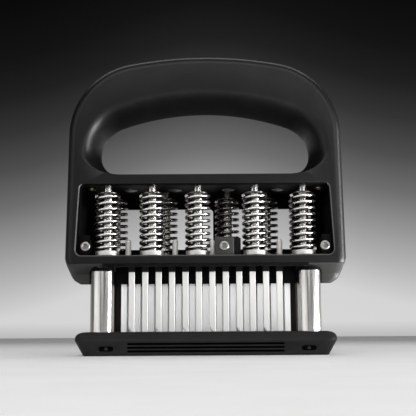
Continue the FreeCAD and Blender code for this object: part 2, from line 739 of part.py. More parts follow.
def make_housing():
    body = new_body("handle_housing")
    depth, face = S["housing_depth"], S["housing_depth"] / 2
    add, take, edge = "PartDesign::AdditiveLoft", "PartDesign::SubtractiveLoft", S["edge_round"]
    loft_with_round_edges(body, "handle_block", add, handle_outline, edge, edge)
    loft_with_round_edges(body, "grip_opening", take, grip_outline, S["funnel"], face)

    half = S["room_width"] / 2
    back = face - S["rear_wall"]
    room = new_sketch(body, "spring_room", "XZ_Plane", face)
    flat_corner_rectangle(room, (-half, half), (S["sill"], S["ceiling"]), S["room_corner"], S["room_lean"])
    pocket(body, "spring_room_cut", room, face + back)

    throat = new_sketch(body, "throat", "XY_Plane", S["housing_bottom"])
    rectangle(throat, (-half, half), (S["sill_thickness"] - face, back))
    throat_depth = S["sill"] - S["housing_bottom"] + S["room_corner"]
    pocket(body, "throat_cut", throat, throat_depth, along_normal=True)

    rail = new_sketch(body, "rail_recess", "XY_Plane", S["ceiling"])
    half_x, half_y = S["rail_width"] / 2 + S["rail_gap"], S["rail_depth"] / 2 + S["rail_gap"]
    rectangle(rail, (-half_x, half_x), (-half_y, half_y))
    pocket(body, "rail_recess_cut", rail, S["rail_thickness"], along_normal=True)

    windows = new_sketch(body, "rear_windows", "XZ_Plane", -back)
    low, high = S["rear_window_bottom"], S["rear_window_top"]
    half_window, corner = S["rear_window_width"] / 2, S["rear_window_corner"]
    flat_corner_rectangle(windows, (-half_window, S["rib_left"]), (low, high), corner)
    flat_corner_rectangle(windows, (S["rib_right"], half_window), (low, high), corner)
    pocket(body, "rear_window_cut", windows, S["rear_wall"])

    bosses = new_sketch(body, "screw_bosses", "XZ_Plane", S["tab_back"])
    low, high = S["screw_level"] - S["boss_height"] / 2, S["screw_level"] + S["boss_height"] / 2
    rectangle(bosses, (-half, -S["tab_inner"]), (low, high))
    rectangle(bosses, (S["tab_inner"], half), (low, high))
    pad(body, "screw_boss_pads", bosses, S["boss_depth"], reverse=True)

    holes = new_sketch(body, "boss_holes", "XZ_Plane", S["tab_back"])
    for side in (-1, 1):
        ring(holes, SMALL_SIDES, S["tab_screw"] * side, S["screw_level"], S["screw_shank"])
    pocket(body, "boss_hole_cut", holes, S["boss_hole"])

    screws = new_sketch(body, "rail_screw_holes", "XY_Plane", S["ceiling"] + S["rail_thickness"])
    for side in (-1, 1):
        ring(screws, SMALL_SIDES, S["rail_screw_span"] * side, -S["rail_screw_offset"], S["screw_shank"])
    pocket(body, "rail_screw_cut", screws, S["rail_screw_bite"], along_normal=True)
    return node("handle_housing", body)


def make_rail():
    low, thickness = S["ceiling"], S["rail_thickness"]
    half_x, half_y = S["rail_width"] / 2, S["rail_depth"] / 2
    plate = block("rail_plate", (-half_x, half_x), (-half_y, half_y), (low, low + thickness))
    holes = []
    for place, x, y in spring_places():
        holes.append(rod("rail_hole_" + place, SMALL_SIDES, S["rail_hole"], thickness, x, y, low))
    for side in (-1, 1):
        x, y = S["rail_screw_span"] * side, -S["rail_screw_offset"]
        holes.append(rod(f"rail_screw_hole_{side + 1}", SMALL_SIDES, S["screw_shank"], thickness, x, y, low))
    for number, x in enumerate(RIVETS):
        holes.append(rod(f"rivet_hole_{number}", SMALL_SIDES, S["screw_shank"], thickness, x, 0, low))
    return node("top_rail", cut("top_rail", plate, holes))


def make_rail_fasteners():
    low, thickness = S["ceiling"], S["rail_thickness"]
    screws = []
    for side in (-1, 1):
        x, y = S["rail_screw_span"] * side, -S["rail_screw_offset"]
        name, height = f"rail_screw_{side + 1}", S["screw_head_height"]
        length = thickness + S["rail_screw_bite"]
        shank = rod(name + "_shank", SMALL_SIDES, S["screw_shank"], length, x, y, low)
        head = rod(name + "_head", SMALL_SIDES, S["screw_head"], height, x, y, low - height)
        screws.append(fuse(name, [shank, head]))
    node("rail_screws", group("rail_screws", screws))
    rivets = []
    for number, x in enumerate(RIVETS):
        name, height = f"rail_rivet_{number}", S["rivet_height"]
        shank = rod(name + "_shank", SMALL_SIDES, S["screw_shank"], thickness, x, 0, low)
        head = rod(name + "_head", SMALL_SIDES, S["rivet_radius"], height, x, 0, low - height)
        rivets.append(fuse(name, [shank, head]))
    node("rail_rivets", group("rail_rivets", rivets))


def make_pins():
    """Spring pins: a spigot in the rail, a conical neck, the spring's upper seat and a rod."""
    ceiling, level, foot = S["ceiling"], S["flange_level"], S["pin_foot"]
    shoulder = level + S["flange_thickness"]
    for place, x, y in spring_places():
        name = "spring_pin_" + place
        spigot = rod(name + "_spigot", SMALL_SIDES, S["spigot_radius"], S["rail_thickness"], x, y, ceiling)
        neck = cone(name + "_neck", SMALL_SIDES, (S["pin_radius"], shoulder), (S["pin_neck"], ceiling), x, y)
        flange = rod(name + "_flange", SMALL_SIDES, S["flange_radius"], S["flange_thickness"], x, y, level)
        stem = rod(name + "_stem", SMALL_SIDES, S["pin_radius"], level - foot, x, y, foot)
        node(name, fuse(name, [spigot, neck, flange, stem]))


def coil_shape(radius, wire, low, high, turns):
    """A helix with closed ends, made of straight mitred stretches of square wire."""
    steps = int(turns * SPRING_SIDES)
    rest = high - low - wire
    half = wire / 2
    rings = []
    for step in range(steps + 1):
        turn = turns * step / steps
        share = min(max((turn - CLOSED_TURNS / 2) / (turns - CLOSED_TURNS), 0.0), 1.0)
        z = low + half + rest * share
        angle = 2 * math.pi * turn
        out = FreeCAD.Vector(math.cos(angle), math.sin(angle), 0)
        middle = out * radius + FreeCAD.Vector(0, 0, z)
        up = FreeCAD.Vector(0, 0, 1)
        rings.append([middle + out * half, middle + up * half, middle - out * half, middle - up * half])
    faces = []
    for first, second in zip(rings[:-1], rings[1:]):
        for i in range(4):
            j = (i + 1) % 4
            for corners in ((first[i], first[j], second[j]), (first[i], second[j], second[i])):
                faces.append(Part.Face(Part.makePolygon(list(corners) + [corners[0]])))
    for ring in (rings[0], rings[-1]):
        faces.append(Part.Face(Part.makePolygon(ring + [ring[0]])))
    solid = Part.makeSolid(Part.makeShell(faces))
    if solid.Volume < 0:
        solid.reverse()
    return solid


def make_springs():
    shape = coil_shape(S["spring_radius"].value, S["wire"].value, S["seat_top"].value,
                       S["flange_level"].value, S["spring_turns"].value)
    for place, x, y in spring_places():
        spring = doc.addObject("Part::Feature", "spring_" + place)
        spring.Shape = shape
        node("spring_" + place, put(spring, x, y, 0))


def make_lower_body():
    body = new_body("lower_body")
    face = S["housing_depth"] / 2
    bottom, top, deck = S["skirt_bottom"], S["housing_bottom"], S["deck"]
    knee, fold = S["skirt_knee"], S["skirt_fold"]
    foot_y, fold_y = S["skirt_foot_depth"] / 2, S["skirt_fold_depth"] / 2
    knee_y = foot_y + (fold_y - foot_y) * (knee - bottom) / (fold - bottom)
    levels = [
        ("foot", bottom, S["skirt_foot_width"] / 2, foot_y),
        ("knee", knee, S["skirt_knee_width"] / 2, knee_y),
        ("fold", fold, S["skirt_fold_width"] / 2, fold_y),
        ("brim", top, S["skirt_top_width"] / 2, face),
    ]
    sections = []
    for name, level, x, y in levels:
        section = new_sketch(body, "skirt_" + name, "XY_Plane", level)
        flat_corner_rectangle(section, (-x, x), (-y, y), S["edge_round"])
        sections.append(section)
    loft(body, "skirt", sections)

    front, back = -S["tab_front"], face - S["rear_wall"] - S["plug_gap"]
    half = S["tab_outer"]
    plug = new_sketch(body, "plug", "XY_Plane", top)
    rectangle(plug, (-half, half), (front, back))
    pad(body, "plug_pad", plug, deck - top)

    tabs = new_sketch(body, "tabs", "XY_Plane", deck)
    rectangle(tabs, (-half, -S["tab_inner"]), (front, -S["tab_back"]))
    rectangle(tabs, (S["tab_inner"], half), (front, -S["tab_back"]))
    pad(body, "tab_pads", tabs, S["tab_top"] - deck)
    middle = new_sketch(body, "middle_pad_outline", "XY_Plane", deck)
    rectangle(middle, (S["pad_left"], S["pad_right"]), (front, -S["pad_back"]))
    pad(body, "middle_pad", middle, S["pad_top"] - deck)

    height = deck - bottom
    holes = new_sketch(body, "post_holes", "XY_Plane", bottom)
    post_rings(holes, S["post_hole"])
    pocket(body, "post_hole_cut", holes, height, along_normal=True)

    fins = new_sketch(body, "fin_slots", "XY_Plane", bottom)
    fin_rectangles(fins, S["free_gap"])
    pocket(body, "fin_slot_cut", fins, height, along_normal=True)

    around = S["bar_gap"]
    bars = new_sketch(body, "bar_pockets", "XY_Plane", deck)
    half_bar = S["bar_width"] / 2 + around
    rectangle(bars, (-half_bar, half_bar), (-S["bar_front"] - around, around - S["bar_back"]))
    rectangle(bars, (-half_bar, half_bar), (S["bar_back"] - around, S["bar_front"] + around))
    pocket(body, "bar_pocket_cut", bars, deck - S["bar_bottom"])

    outer_blades = next(blade_rows())
    pitch, first = outer_blades[2], outer_blades[3]
    slots = new_sketch(body, "blade_slots", "XY_Plane", bottom)
    half_slot, slot_back = S["tooth_width"] / 2 + S["slot_gap"], S["tooth_back"] - S["slot_gap"]
    rectangle(slots, (first - half_slot, first + half_slot), (-face - OVER, -slot_back))
    rectangle(slots, (first - half_slot, first + half_slot), (slot_back, face + OVER))
    slot_cut = pocket(body, "blade_slot_cut", slots, S["bar_bottom"] - bottom, along_normal=True)
    row_of(body, "blade_slot_row", slot_cut, pitch, OUTER_BLADES)

    row, margin = S["inner_row"], S["blade_thickness"] / 2 + S["root_gap"]
    long_half = S["bar_width"] / 2 - S["hollow_inset"]

    def inner_blade_ways(sketch):
        for side in (-1, 1):
            rectangle(sketch, (-long_half, long_half), (row * side - margin, row * side + margin))
    hollow = new_sketch(body, "underside_hollows", "XY_Plane", bottom)
    inner_blade_ways(hollow)
    rectangle(hollow, (-long_half, long_half), (-S["hollow_edge"], S["hollow_edge"]))
    pocket(body, "underside_hollow_cut", hollow, S["hollow_roof"] - bottom, along_normal=True)
    roots = new_sketch(body, "inner_blade_slots", "XY_Plane", bottom)
    inner_blade_ways(roots)
    pocket(body, "inner_blade_slot_cut", roots, S["bar_bottom"] - bottom, along_normal=True)

    studs = new_sketch(body, "stud_holes", "XY_Plane", deck)
    for x in STUDS:
        ring(studs, SMALL_SIDES, x, 0, S["stud_radius"])
    pocket(body, "stud_hole_cut", studs, deck - S["stud_foot"])

    screws = new_sketch(body, "screw_holes", "XZ_Plane", S["tab_front"])
    for x in (-S["tab_screw"], S["pad_screw"], S["tab_screw"]):
        ring(screws, SMALL_SIDES, x, S["screw_level"], S["screw_shank"])
    pocket(body, "screw_hole_cut", screws, S["tab_front"] - S["tab_back"])
    return node("lower_body", body)


def make_bushes():
    low, length = S["bush_bottom"], S["bush_top"] - S["bush_bottom"]
    for end, side, x, y in post_places():
        name = f"{end}_bush_{side}"
        outer = rod(name + "_ring", POST_SIDES, S["post_hole"], length, x, y, low)
        bore = rod(name + "_bore", POST_SIDES, S["post_radius"] + S["running_gap"], length, x, y, low)
        node(name, cut(name, outer, [bore]))


def make_blade_row(name, y, pitch, first, count):
    """A row of blades. Their tips slant, steeply on every second blade."""
    body = new_body(name)
    half = S["blade_width"] / 2
    top, tip = S["blade_top"], S["travel"] - S["bite"]
    for kind, start, bevel, number in (
        ("long_bevel", first, S["long_bevel"], (count + 1) // 2),
        ("short_bevel", first + pitch, S["short_bevel"], count // 2),
    ):
        sketch = new_sketch(body, f"{name}_{kind}", "XZ_Plane", -y)
        if kind == "long_bevel":
            corners = [(start + half, tip), (start + half, top),
                       (start - half, top), (start - half, tip + bevel)]
        else:
            corners = [(start + half, tip + bevel), (start + half, top),
                       (start - half, top), (start - half, tip)]
        outline(sketch, corners)
        blade = pad(body, f"{name}_{kind}_blade", sketch, S["blade_thickness"], midplane=True)
        row_of(body, f"{name}_{kind}_row", blade, pitch * 2, number)
    return node(name, body)


def bar_pieces(end, sign):
    """A blade bar: its block, and a tooth round the root of each outer blade."""
    half, bottom = S["bar_width"] / 2, S["bar_bottom"]
    depth = sorted((S["bar_back"] * sign, S["bar_front"] * sign), key=lambda size: size.value)
    pieces = [block(end + "_bar_block", (-half, half), depth, (bottom, S["bar_top"]))]
    outer_blades = next(blade_rows())
    pitch, first, half_tooth = outer_blades[2], outer_blades[3], S["tooth_width"] / 2
    depth = sorted((S["tooth_back"] * sign, S["bar_front"] * sign), key=lambda size: size.value)
    for number in range(OUTER_BLADES):
        x = first + pitch * number
        levels = (S["tooth_bottom"], bottom)
        pieces.append(block(f"{end}_tooth_{number}", (x - half_tooth, x + half_tooth), depth, levels))
    return pieces


def make_blades_and_bars():
    rows, pieces = {}, {}
    for end, sign in (("front", -1), ("rear", 1)):
        rows[end] = [make_blade_row(f"{end}_{kind}_blades", row * sign, pitch, first, count)
                     for kind, row, pitch, first, count in blade_rows()]
        pieces[end] = bar_pieces(end, sign)
    node("rear_blade_bar", cut("rear_blade_bar", fuse("rear_bar_body", pieces["rear"]), rows["rear"]))

    lug_x = (S["pad_left"] + S["lug_inset"], S["pad_right"] - S["lug_inset"])
    lug_back = S["lug_depth"] - S["bar_front"]
    lug = block("bar_lug", lug_x, (-S["bar_front"], lug_back), (S["bar_top"], S["lug_top"]))
    hole = rod("bar_lug_hole", SMALL_SIDES, S["screw_shank"], S["lug_depth"] + OVER * 2, S["pad_screw"],
               lug_back + OVER, S["screw_level"], "-Y")
    front = fuse("front_bar_body", pieces["front"] + [lug])
    node("front_blade_bar", cut("front_blade_bar", front, rows["front"] + [hole]))


def make_studs():
    radius, foot, top, tip = S["stud_radius"], S["stud_foot"], S["stud_top"], S["stud_tip"]
    studs = []
    for number, x in enumerate(STUDS):
        name = f"guide_stud_{number}"
        shaft = rod(name + "_shaft", SMALL_SIDES, radius, top - tip - foot, x, 0, foot)
        end = rod(name + "_tip", SMALL_SIDES, radius - tip, tip, x, 0, top - tip)
        studs.append(fuse(name, [shaft, end]))
    return node("guide_studs", group("guide_studs", studs))


def make_body_screws():
    front, level = -S["tab_front"], S["screw_level"]
    screws = []
    for name, x, length in (
        ("left_screw", -S["tab_screw"], S["side_screw_length"]),
        ("pad_screw", S["pad_screw"], S["pad_screw_length"]),
        ("right_screw", S["tab_screw"], S["side_screw_length"]),
    ):
        shank = rod(name + "_shank", SMALL_SIDES, S["screw_shank"], length, x, length + front, level, "-Y")
        radius, height = S["screw_head"], S["screw_head_height"]
        head = rod(name + "_head", SMALL_SIDES, radius, height, x, front, level, "-Y")
        screws.append(fuse(name, [shank, head]))
    return node("body_screws", group("body_screws", screws))


make_guard_plate()
make_posts()
make_fins()
make_carrier()
make_seats()
make_post_screws()
make_housing()
make_rail()
make_rail_fasteners()
make_pins()
make_springs()
make_lower_body()
make_bushes()
make_blades_and_bars()
make_studs()
make_body_screws()
doc.recompute()

for obj in doc.Objects:
    if "Invalid" in obj.State or "Error" in obj.State:
        raise RuntimeError(f"{obj.Label} did not build: {obj.State}")
for name, obj in NODES.items():
    if obj.Shape.isNull() or not obj.Shape.isValid() or not obj.Shape.Solids:
        raise RuntimeError(f"{name} has no valid solid")
for name, obj in NODES.items():
    obj.Shape.exportStep(os.path.join("parts", name + ".step"))
print(len(NODES), "nodes written")
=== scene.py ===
import math

import bmesh
import bpy
from mathutils import Matrix, Vector


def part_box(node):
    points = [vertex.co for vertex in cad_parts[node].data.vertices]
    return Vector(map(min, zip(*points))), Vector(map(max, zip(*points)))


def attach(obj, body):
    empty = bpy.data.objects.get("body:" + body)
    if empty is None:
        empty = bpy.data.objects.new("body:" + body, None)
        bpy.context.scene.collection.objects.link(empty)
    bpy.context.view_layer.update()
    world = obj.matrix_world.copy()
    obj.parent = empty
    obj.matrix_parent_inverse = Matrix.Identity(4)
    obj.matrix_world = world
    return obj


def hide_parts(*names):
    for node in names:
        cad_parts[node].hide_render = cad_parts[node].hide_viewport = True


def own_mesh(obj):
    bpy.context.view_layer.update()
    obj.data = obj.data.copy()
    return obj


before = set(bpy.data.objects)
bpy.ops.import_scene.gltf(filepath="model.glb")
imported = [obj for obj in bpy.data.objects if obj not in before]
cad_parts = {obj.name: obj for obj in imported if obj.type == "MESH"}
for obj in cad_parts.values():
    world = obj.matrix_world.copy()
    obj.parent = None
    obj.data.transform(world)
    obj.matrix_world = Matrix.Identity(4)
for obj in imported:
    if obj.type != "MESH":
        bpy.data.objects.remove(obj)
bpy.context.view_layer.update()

# A blade meat tenderizer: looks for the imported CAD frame. Lengths are in millimetres and
# become metres where a mesh is made. X runs across the handle, Y to the back, Z up.

MM = 0.001

# ---- driving sizes, beside those read from the frame ---------------------------

SHOULDER_WIDTH = 156.8
SHOULDER_RADIUS = 43.0
CROWN_RADIUS = 230.0
SIDE_SLOPE = 0.0165                 # the sides open out downwards
EDGE_ROUND = 5.0
HEEL = (0.9, 3.2)                   # width and height cut off the housing's lower corners
GRIP_WIDTH = 123.6
GRIP_FLOOR = 102.0
GRIP_CROWN = 143.2
GRIP_END_LEVEL = 116.5
GRIP_END_RADIUS = 19.5
GRIP_CORNER = 18.0                  # half width of the elliptic lower corners
GRIP_CORNER_GROWTH = 0.6
FUNNEL = 10.0
ROOM_HALF = 72.2                    # spring room inside the housing, at the sill
ROOM_LEAN = 1.7
ROOM_CORNER = 1.6
SILL = 55.9
SILL_THICKNESS = 2.0
CEILING = 96.2
MOUTH_CORNER = 3.2                  # the room's corners where it opens to the front
LIP = (0.62, 0.42)                  # width and depth of the chamfer round the openings
MOUTH = (0.9, 0.2, 0.6)             # how far the opening passes the room: left, right, top
REAR_WALL = 2.3
REAR_WINDOW = (62.7, 87.5)
REAR_WINDOW_HALF = 64.5
RIB = (4.7, 10.2)
CARRIER_TOP = 56.0
OUTER_BLADES = 12
INNER_BLADES = 13
OUTER_PITCH = 7.6
INNER_PITCH = 7.75
OUTER_ROW = 15.0
INNER_ROW = 10.0
BLADE_BEVELS = {"outer": (4.9, 2.6), "inner": (1.6, 1.2)}
SPRING_TURNS = 9.5
CLOSED_TURNS = 0.9                  # turns that lie flat at the ends of a spring
EASE = 0.06                         # how softly the pitch opens from the flat turns
SPRING_RADIUS = 6.4
WIRE = 1.9
PIN_RADIUS = 3.0
PIN_NECK = 2.45
PIN_SPIGOT = 1.6
PIN_SHADE = 85.0                    # the rear pins carry painted shade above this level
FLANGE = (91.6, 92.5)
BAR_BOTTOM = 49.7
SKIRT_RISE = 1.5                    # the skirt's underside rises to the back
COLLAR = (47.2, 49.5)               # levels of the lower body's collars round the posts
STUDS = (-45.3, -17.8, 3.5, 43.4)
RIVETS = (-44.0, -17.7, 13.6, 42.9)
RIVET_HEAD = 3.8
RIVET_SHANK = 1.5
BAND_END = 58.0                     # the lower body's front carries painted shade between these places
TAB = (65.75, 71.4)
TAB_FACE = 18.8
BODY_SCREWS = ((-67.8, 10.0), (10.65, 3.6), (67.6, 10.0))
SCREW_LEVEL = 61.6
SCREW_DROP = 0.5                    # the pan heads sit a little below the bosses' middle
RAIL_SCREW = (66.1, -8.0)
PAN_SCREW = (2.75, 1.15, 1.5)       # head radius, head height and shank radius
POST_SCREW = (1.0, 0.85, 0.7)
RECESSES = ((-1, -55.2), (-1, 57.0), (1, -56.8), (1, 56.8))
RECESS_LEVEL = 3.9
RECESS_SIZE = (8.2, 2.8)
RECESS_DEPTH = 2.0
GUARD_SLOT = (4.4, 2.0)             # width and depth of the slots that the blades pass
GROOVE_LEVELS = (2.5, 4.5, 6.5)
GROOVE = (87.0, 1.2, 2.4)           # length, height and depth
TUBE_WALL = 0.6
POSTS = ("front_post_left", "front_post_right", "rear_post_left", "rear_post_right")
FINS = ("guide_fin_left", "guide_fin_right")


def extent(node):
    """Lowest and highest corner of a CAD node."""
    low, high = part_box(node)
    return low / MM, high / MM


def middle_of(node):
    low, high = extent(node)
    return (low + high) / 2


# ---- mesh helpers ----------------------------------------------------------------

def new_mesh(name, vertices, faces):
    mesh = bpy.data.meshes.new(name)
    mesh.from_pydata([Vector(v) * MM for v in vertices], [], faces)
    obj = bpy.data.objects.new(name, mesh)
    bpy.context.scene.collection.objects.link(obj)
    work = bmesh.new()
    work.from_mesh(mesh)
    bmesh.ops.remove_doubles(work, verts=work.verts, dist=0.002 * MM)
    bmesh.ops.recalc_face_normals(work, faces=work.faces)
    work.to_mesh(mesh)
    work.free()
    return obj


def loft(name, rings):
    """A skin through closed rings of equal point counts, with a cap on each end."""
    count = len(rings[0])
    faces = []
    for k in range(len(rings) - 1):
        for i in range(count):
            j = (i + 1) % count
            faces.append((k * count + i, k * count + j, (k + 1) * count + j, (k + 1) * count + i))
    faces.append(tuple(range(count)))
    faces.append(tuple((len(rings) - 1) * count + i for i in range(count)))
    return new_mesh(name, [point for ring in rings for point in ring], faces)


def turn(name, profile, x=0, y=0, sides=64):
    """A closed profile of (radius, level) points turned about an upright axis."""
    count = len(profile)
    vertices = []
    for step in range(sides):
        angle = 2 * math.pi * step / sides
        vertices += [(x + r * math.cos(angle), y + r * math.sin(angle), z) for r, z in profile]
    faces = []
    for step in range(sides):
        following = (step + 1) % sides
        for i in range(count):
            j = (i + 1) % count
            if profile[i][0] == 0 and profile[j][0] == 0:
                continue
            faces.append((step * count + i, following * count + i, following * count + j, step * count + j))
    return new_mesh(name, vertices, faces)


def box(name, x, y, z):
    corners = [(x[i], y[j], z[k]) for k in (0, 1) for j in (0, 1) for i in (0, 1)]
    faces = [(0, 2, 3, 1), (4, 5, 7, 6), (0, 1, 5, 4), (2, 6, 7, 3), (0, 4, 6, 2), (1, 3, 7, 5)]
    return new_mesh(name, corners, faces)


def rod(name, radius, x, y, z, sides=64):
    return turn(name, [(0, z[0]), (radius, z[0]), (radius, z[1]), (0, z[1])], x, y, sides)


def arc(x, y, radius, start, end, steps):
    """Points on an arc, angles in degrees; radius may be a pair for an ellipse."""
    across, up = radius if hasattr(radius, "__len__") else (radius, radius)
    angles = [math.radians(start + (end - start) * step / steps) for step in range(steps + 1)]
    return [(x + across * math.cos(a), y + up * math.sin(a)) for a in angles]


def rounded(x, y, radius, steps=8, lean=0.0):
    """Outline of a rectangle with round corners; its sides may lean in upwards."""
    points = []
    for cx, cy, start in (
        (x[1] - radius - lean, y[1] - radius, 0), (x[0] + radius + lean, y[1] - radius, 90),
        (x[0] + radius, y[0] + radius, 180), (x[1] - radius, y[0] + radius, 270),
    ):
        points += arc(cx, cy, radius, start, start + 90, steps)
    return points


def at_depth(outline, y):
    """An upright outline of (x, z) points as a ring at that depth."""
    return [(x, y, z) for x, z in outline]


def join(name, pieces):
    """Several meshes as one object, named name."""
    work = bmesh.new()
    for piece in pieces:
        piece.data.transform(piece.matrix_world)
        work.from_mesh(piece.data)
        bpy.data.objects.remove(piece)
    mesh = bpy.data.meshes.new(name)
    work.to_mesh(mesh)
    work.free()
    obj = bpy.data.objects.new(name, mesh)
    bpy.context.scene.collection.objects.link(obj)
    return obj


def apply_modifiers(obj):
    graph = bpy.context.evaluated_depsgraph_get()
    mesh = bpy.data.meshes.new_from_object(obj.evaluated_get(graph))
    obj.modifiers.clear()
    obj.data = mesh


def carve(obj, cutters):
    for cutter in cutters:
        modifier = obj.modifiers.new("carve", "BOOLEAN")
        modifier.operation = "DIFFERENCE"
        modifier.solver = "EXACT"
        modifier.object = cutter
    apply_modifiers(obj)
    for cutter in cutters:
        bpy.data.objects.remove(cutter)
    return obj


def soften(obj, width, segments=2, angle=32):
    """Small roundings along the sharp edges."""
    modifier = obj.modifiers.new("soften", "BEVEL")
    modifier.width = width * MM
    modifier.segments = segments
    modifier.limit_method = "ANGLE"
    modifier.angle_limit = math.radians(angle)
    modifier.use_clamp_overlap = True
    apply_modifiers(obj)
    return obj


def cut_across(obj, *places):
    """Splits the faces at upright planes across X and leaves the shape as it is."""
    work = bmesh.new()
    work.from_mesh(obj.data)
    for x in places:
        everything = work.verts[:] + work.edges[:] + work.faces[:]
        bmesh.ops.bisect_plane(work, geom=everything, plane_co=(x * MM, 0, 0), plane_no=(1, 0, 0))
    work.to_mesh(obj.data)
    work.free()


def smooth(obj, angle=35):
    for face in obj.data.polygons:
        face.use_smooth = True
    obj.data.set_sharp_from_angle(angle=math.radians(angle))
    return obj


def dress(obj, material, body, nodes=()):
    """Material and body of a finished piece, and the CAD nodes that it stands for."""
    obj.data.materials.clear()
    obj.data.materials.append(material)
    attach(obj, body)
    if nodes:
        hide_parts(*nodes)
    return obj


def shade(obj, *pairs):
    """Another material on the faces whose middle, in millimetres, is chosen."""
    for number, (material, chosen) in enumerate(pairs):
        obj.data.materials.append(material)
        for face in obj.data.polygons:
            if chosen(face.center / MM, face.normal):
                face.material_index = number + 1


def node_box(name, node, gap, z):
    """An upright box round a CAD node, wider by gap on each side, between two levels."""
    low, high = extent(node)
    return box(name, (low.x - gap, high.x + gap), (low.y - gap, high.y + gap), z)


# ---- materials -------------------------------------------------------------------

def shader(name):
    material = bpy.data.materials.new(name)
    material.use_nodes = True
    tree = material.node_tree
    return material, tree, tree.nodes["Principled BSDF"]


def noise(tree, scale, detail=2.0, stretch=(1, 1, 1)):
    """Noise over the object's own coordinates; scale is in features for each metre."""
    place = tree.nodes.new("ShaderNodeTexCoord")
    mapping = tree.nodes.new("ShaderNodeMapping")
    mapping.inputs["Scale"].default_value = stretch
    texture = tree.nodes.new("ShaderNodeTexNoise")
    texture.inputs["Scale"].default_value = scale
    texture.inputs["Detail"].default_value = detail
    tree.links.new(place.outputs["Object"], mapping.inputs["Vector"])
    tree.links.new(mapping.outputs["Vector"], texture.inputs["Vector"])
    return texture.outputs["Fac"]


def ramp(tree, factor, low, high, start=0.3, end=0.7):
    """Turns a factor into a colour between low and high."""
    node = tree.nodes.new("ShaderNodeValToRGB")
    for stop, place, value in zip(node.color_ramp.elements, (start, end), (low, high)):
        stop.position = place
        stop.color = (*value, 1) if hasattr(value, "__len__") else (value, value, value, 1)
    tree.links.new(factor, node.inputs["Fac"])
    return node.outputs["Color"]


def bump(tree, principled, height, strength, distance):
    """Adds a bump of that height over any that is there."""
    node = tree.nodes.new("ShaderNodeBump")
    node.inputs["Strength"].default_value = strength
    node.inputs["Distance"].default_value = distance * MM
    tree.links.new(height, node.inputs["Height"])
    normal = principled.inputs["Normal"]
    if normal.is_linked:
        tree.links.new(normal.links[0].from_socket, node.inputs["Normal"])
    tree.links.new(node.outputs["Normal"], normal)


def maths(tree, operation, *values):
    """A math node; values are sockets or numbers."""
    node = tree.nodes.new("ShaderNodeMath")
    node.operation = operation
    for number, value in enumerate(values):
        if isinstance(value, (int, float)):
            node.inputs[number].default_value = value
        else:
            tree.links.new(value, node.inputs[number])
    return node.outputs["Value"]


def multiplied(tree, first, second):
    """Two colours multiplied."""
    node = tree.nodes.new("ShaderNodeMix")
    node.data_type, node.blend_type = "RGBA", "MULTIPLY"
    node.inputs["Factor"].default_value = 1.0
    tree.links.new(first, node.inputs[6])
    tree.links.new(second, node.inputs[7])
    return node.outputs[2]


def axes_of(tree, coordinates):
    """X, Y and Z of one of the coordinates that the texture coordinate node gives."""
    place = tree.nodes.new("ShaderNodeTexCoord")
    split = tree.nodes.new("ShaderNodeSeparateXYZ")
    tree.links.new(place.outputs[coordinates], split.inputs["Vector"])
    return split.outputs


def moulded(name, dark, pale, rough, gloss, grain=0.55, underside=0.0):
    """Moulded plastic: a fine spark-eroded grain, faint flow mottling, uneven gloss.

    underside is how much rougher it gets where its surface looks down.
    """
    material, tree, principled = shader(name)
    principled.inputs["Specular IOR Level"].default_value = gloss
    tree.links.new(ramp(tree, noise(tree, 90, 4), dark, pale), principled.inputs["Base Color"])
    roughness = ramp(tree, noise(tree, 420, 5), rough[0], rough[1])
    if underside:
        up = axes_of(tree, "Normal")["Z"]
        down = maths(tree, "MULTIPLY", maths(tree, "ADD", up, 0.5), -underside)
        down = maths(tree, "MAXIMUM", down, 0.0)
        roughness = maths(tree, "ADD", roughness, down)
    tree.links.new(roughness, principled.inputs["Roughness"])
    bump(tree, principled, noise(tree, 1900, 3), grain, 0.05)
    bump(tree, principled, noise(tree, 260, 2), 0.12, 0.08)
    return material


def steel(name, colour, rough, stretch, lines=0.12, scale=900, dim=0.9, metal=1.0, underside=1.0):
    """Steel with fine grinding or drawing lines along the axis that stretch makes long.

    underside is the share of the colour that is left where the surface looks down: painted shade on the
    undersides.
    """
    material, tree, principled = shader(name)
    principled.inputs["Metallic"].default_value = metal
    tint = [tuple(part * share for part in colour) for share in (dim, 1.0)]
    base = ramp(tree, noise(tree, scale, 3, stretch), *tint)
    # the colour darkens where the surface looks down: painted shade
    if underside < 1:
        up = maths(tree, "MULTIPLY", axes_of(tree, "Normal")["Z"], 0.5)
        share = ramp(tree, maths(tree, "ADD", up, 0.5), underside, 1.0, 0.14, 0.40)
        base = multiplied(tree, base, share)
    tree.links.new(base, principled.inputs["Base Color"])
    streaks = noise(tree, scale * 0.7, 4, stretch)
    tree.links.new(ramp(tree, streaks, rough[0], rough[1]), principled.inputs["Roughness"])
    bump(tree, principled, noise(tree, scale, 2, stretch), lines, 0.02)
    return material


ALONG_Z = (1, 1, 0.03)
AROUND = (0.05, 0.05, 1)
EVEN = (1, 1, 1)
NYLON = moulded("black_nylon", (0.0030, 0.0030, 0.0028), (0.0046, 0.0045, 0.0043), (0.34, 0.41),
                0.21, underside=0.5)
PLATE_NYLON = moulded("plate_nylon", (0.0120, 0.0120, 0.0117), (0.0160, 0.0159, 0.0155), (0.40, 0.48), 0.1)
# paler, glossier nylon: a painted highlight along the lip round the spring room's opening
HIGHLIGHT_LIP_NYLON = moulded("lip_highlight_nylon", (0.042, 0.042, 0.040), (0.060, 0.060, 0.058), (0.30, 0.38), 0.5)
SKIRT_NYLON = moulded("skirt_nylon", (0.0290, 0.0290, 0.0280), (0.0360, 0.0359, 0.0352), (0.42, 0.50), 0.2)
# duller dark nylon: painted shade on the lower body's front between the posts; also the carrier, rail and
# blade bars
SHADED_DARK_NYLON = moulded("shaded_inner_nylon", (0.0030,) * 3, (0.0050, 0.0049, 0.0048), (0.5, 0.62), 0.08)
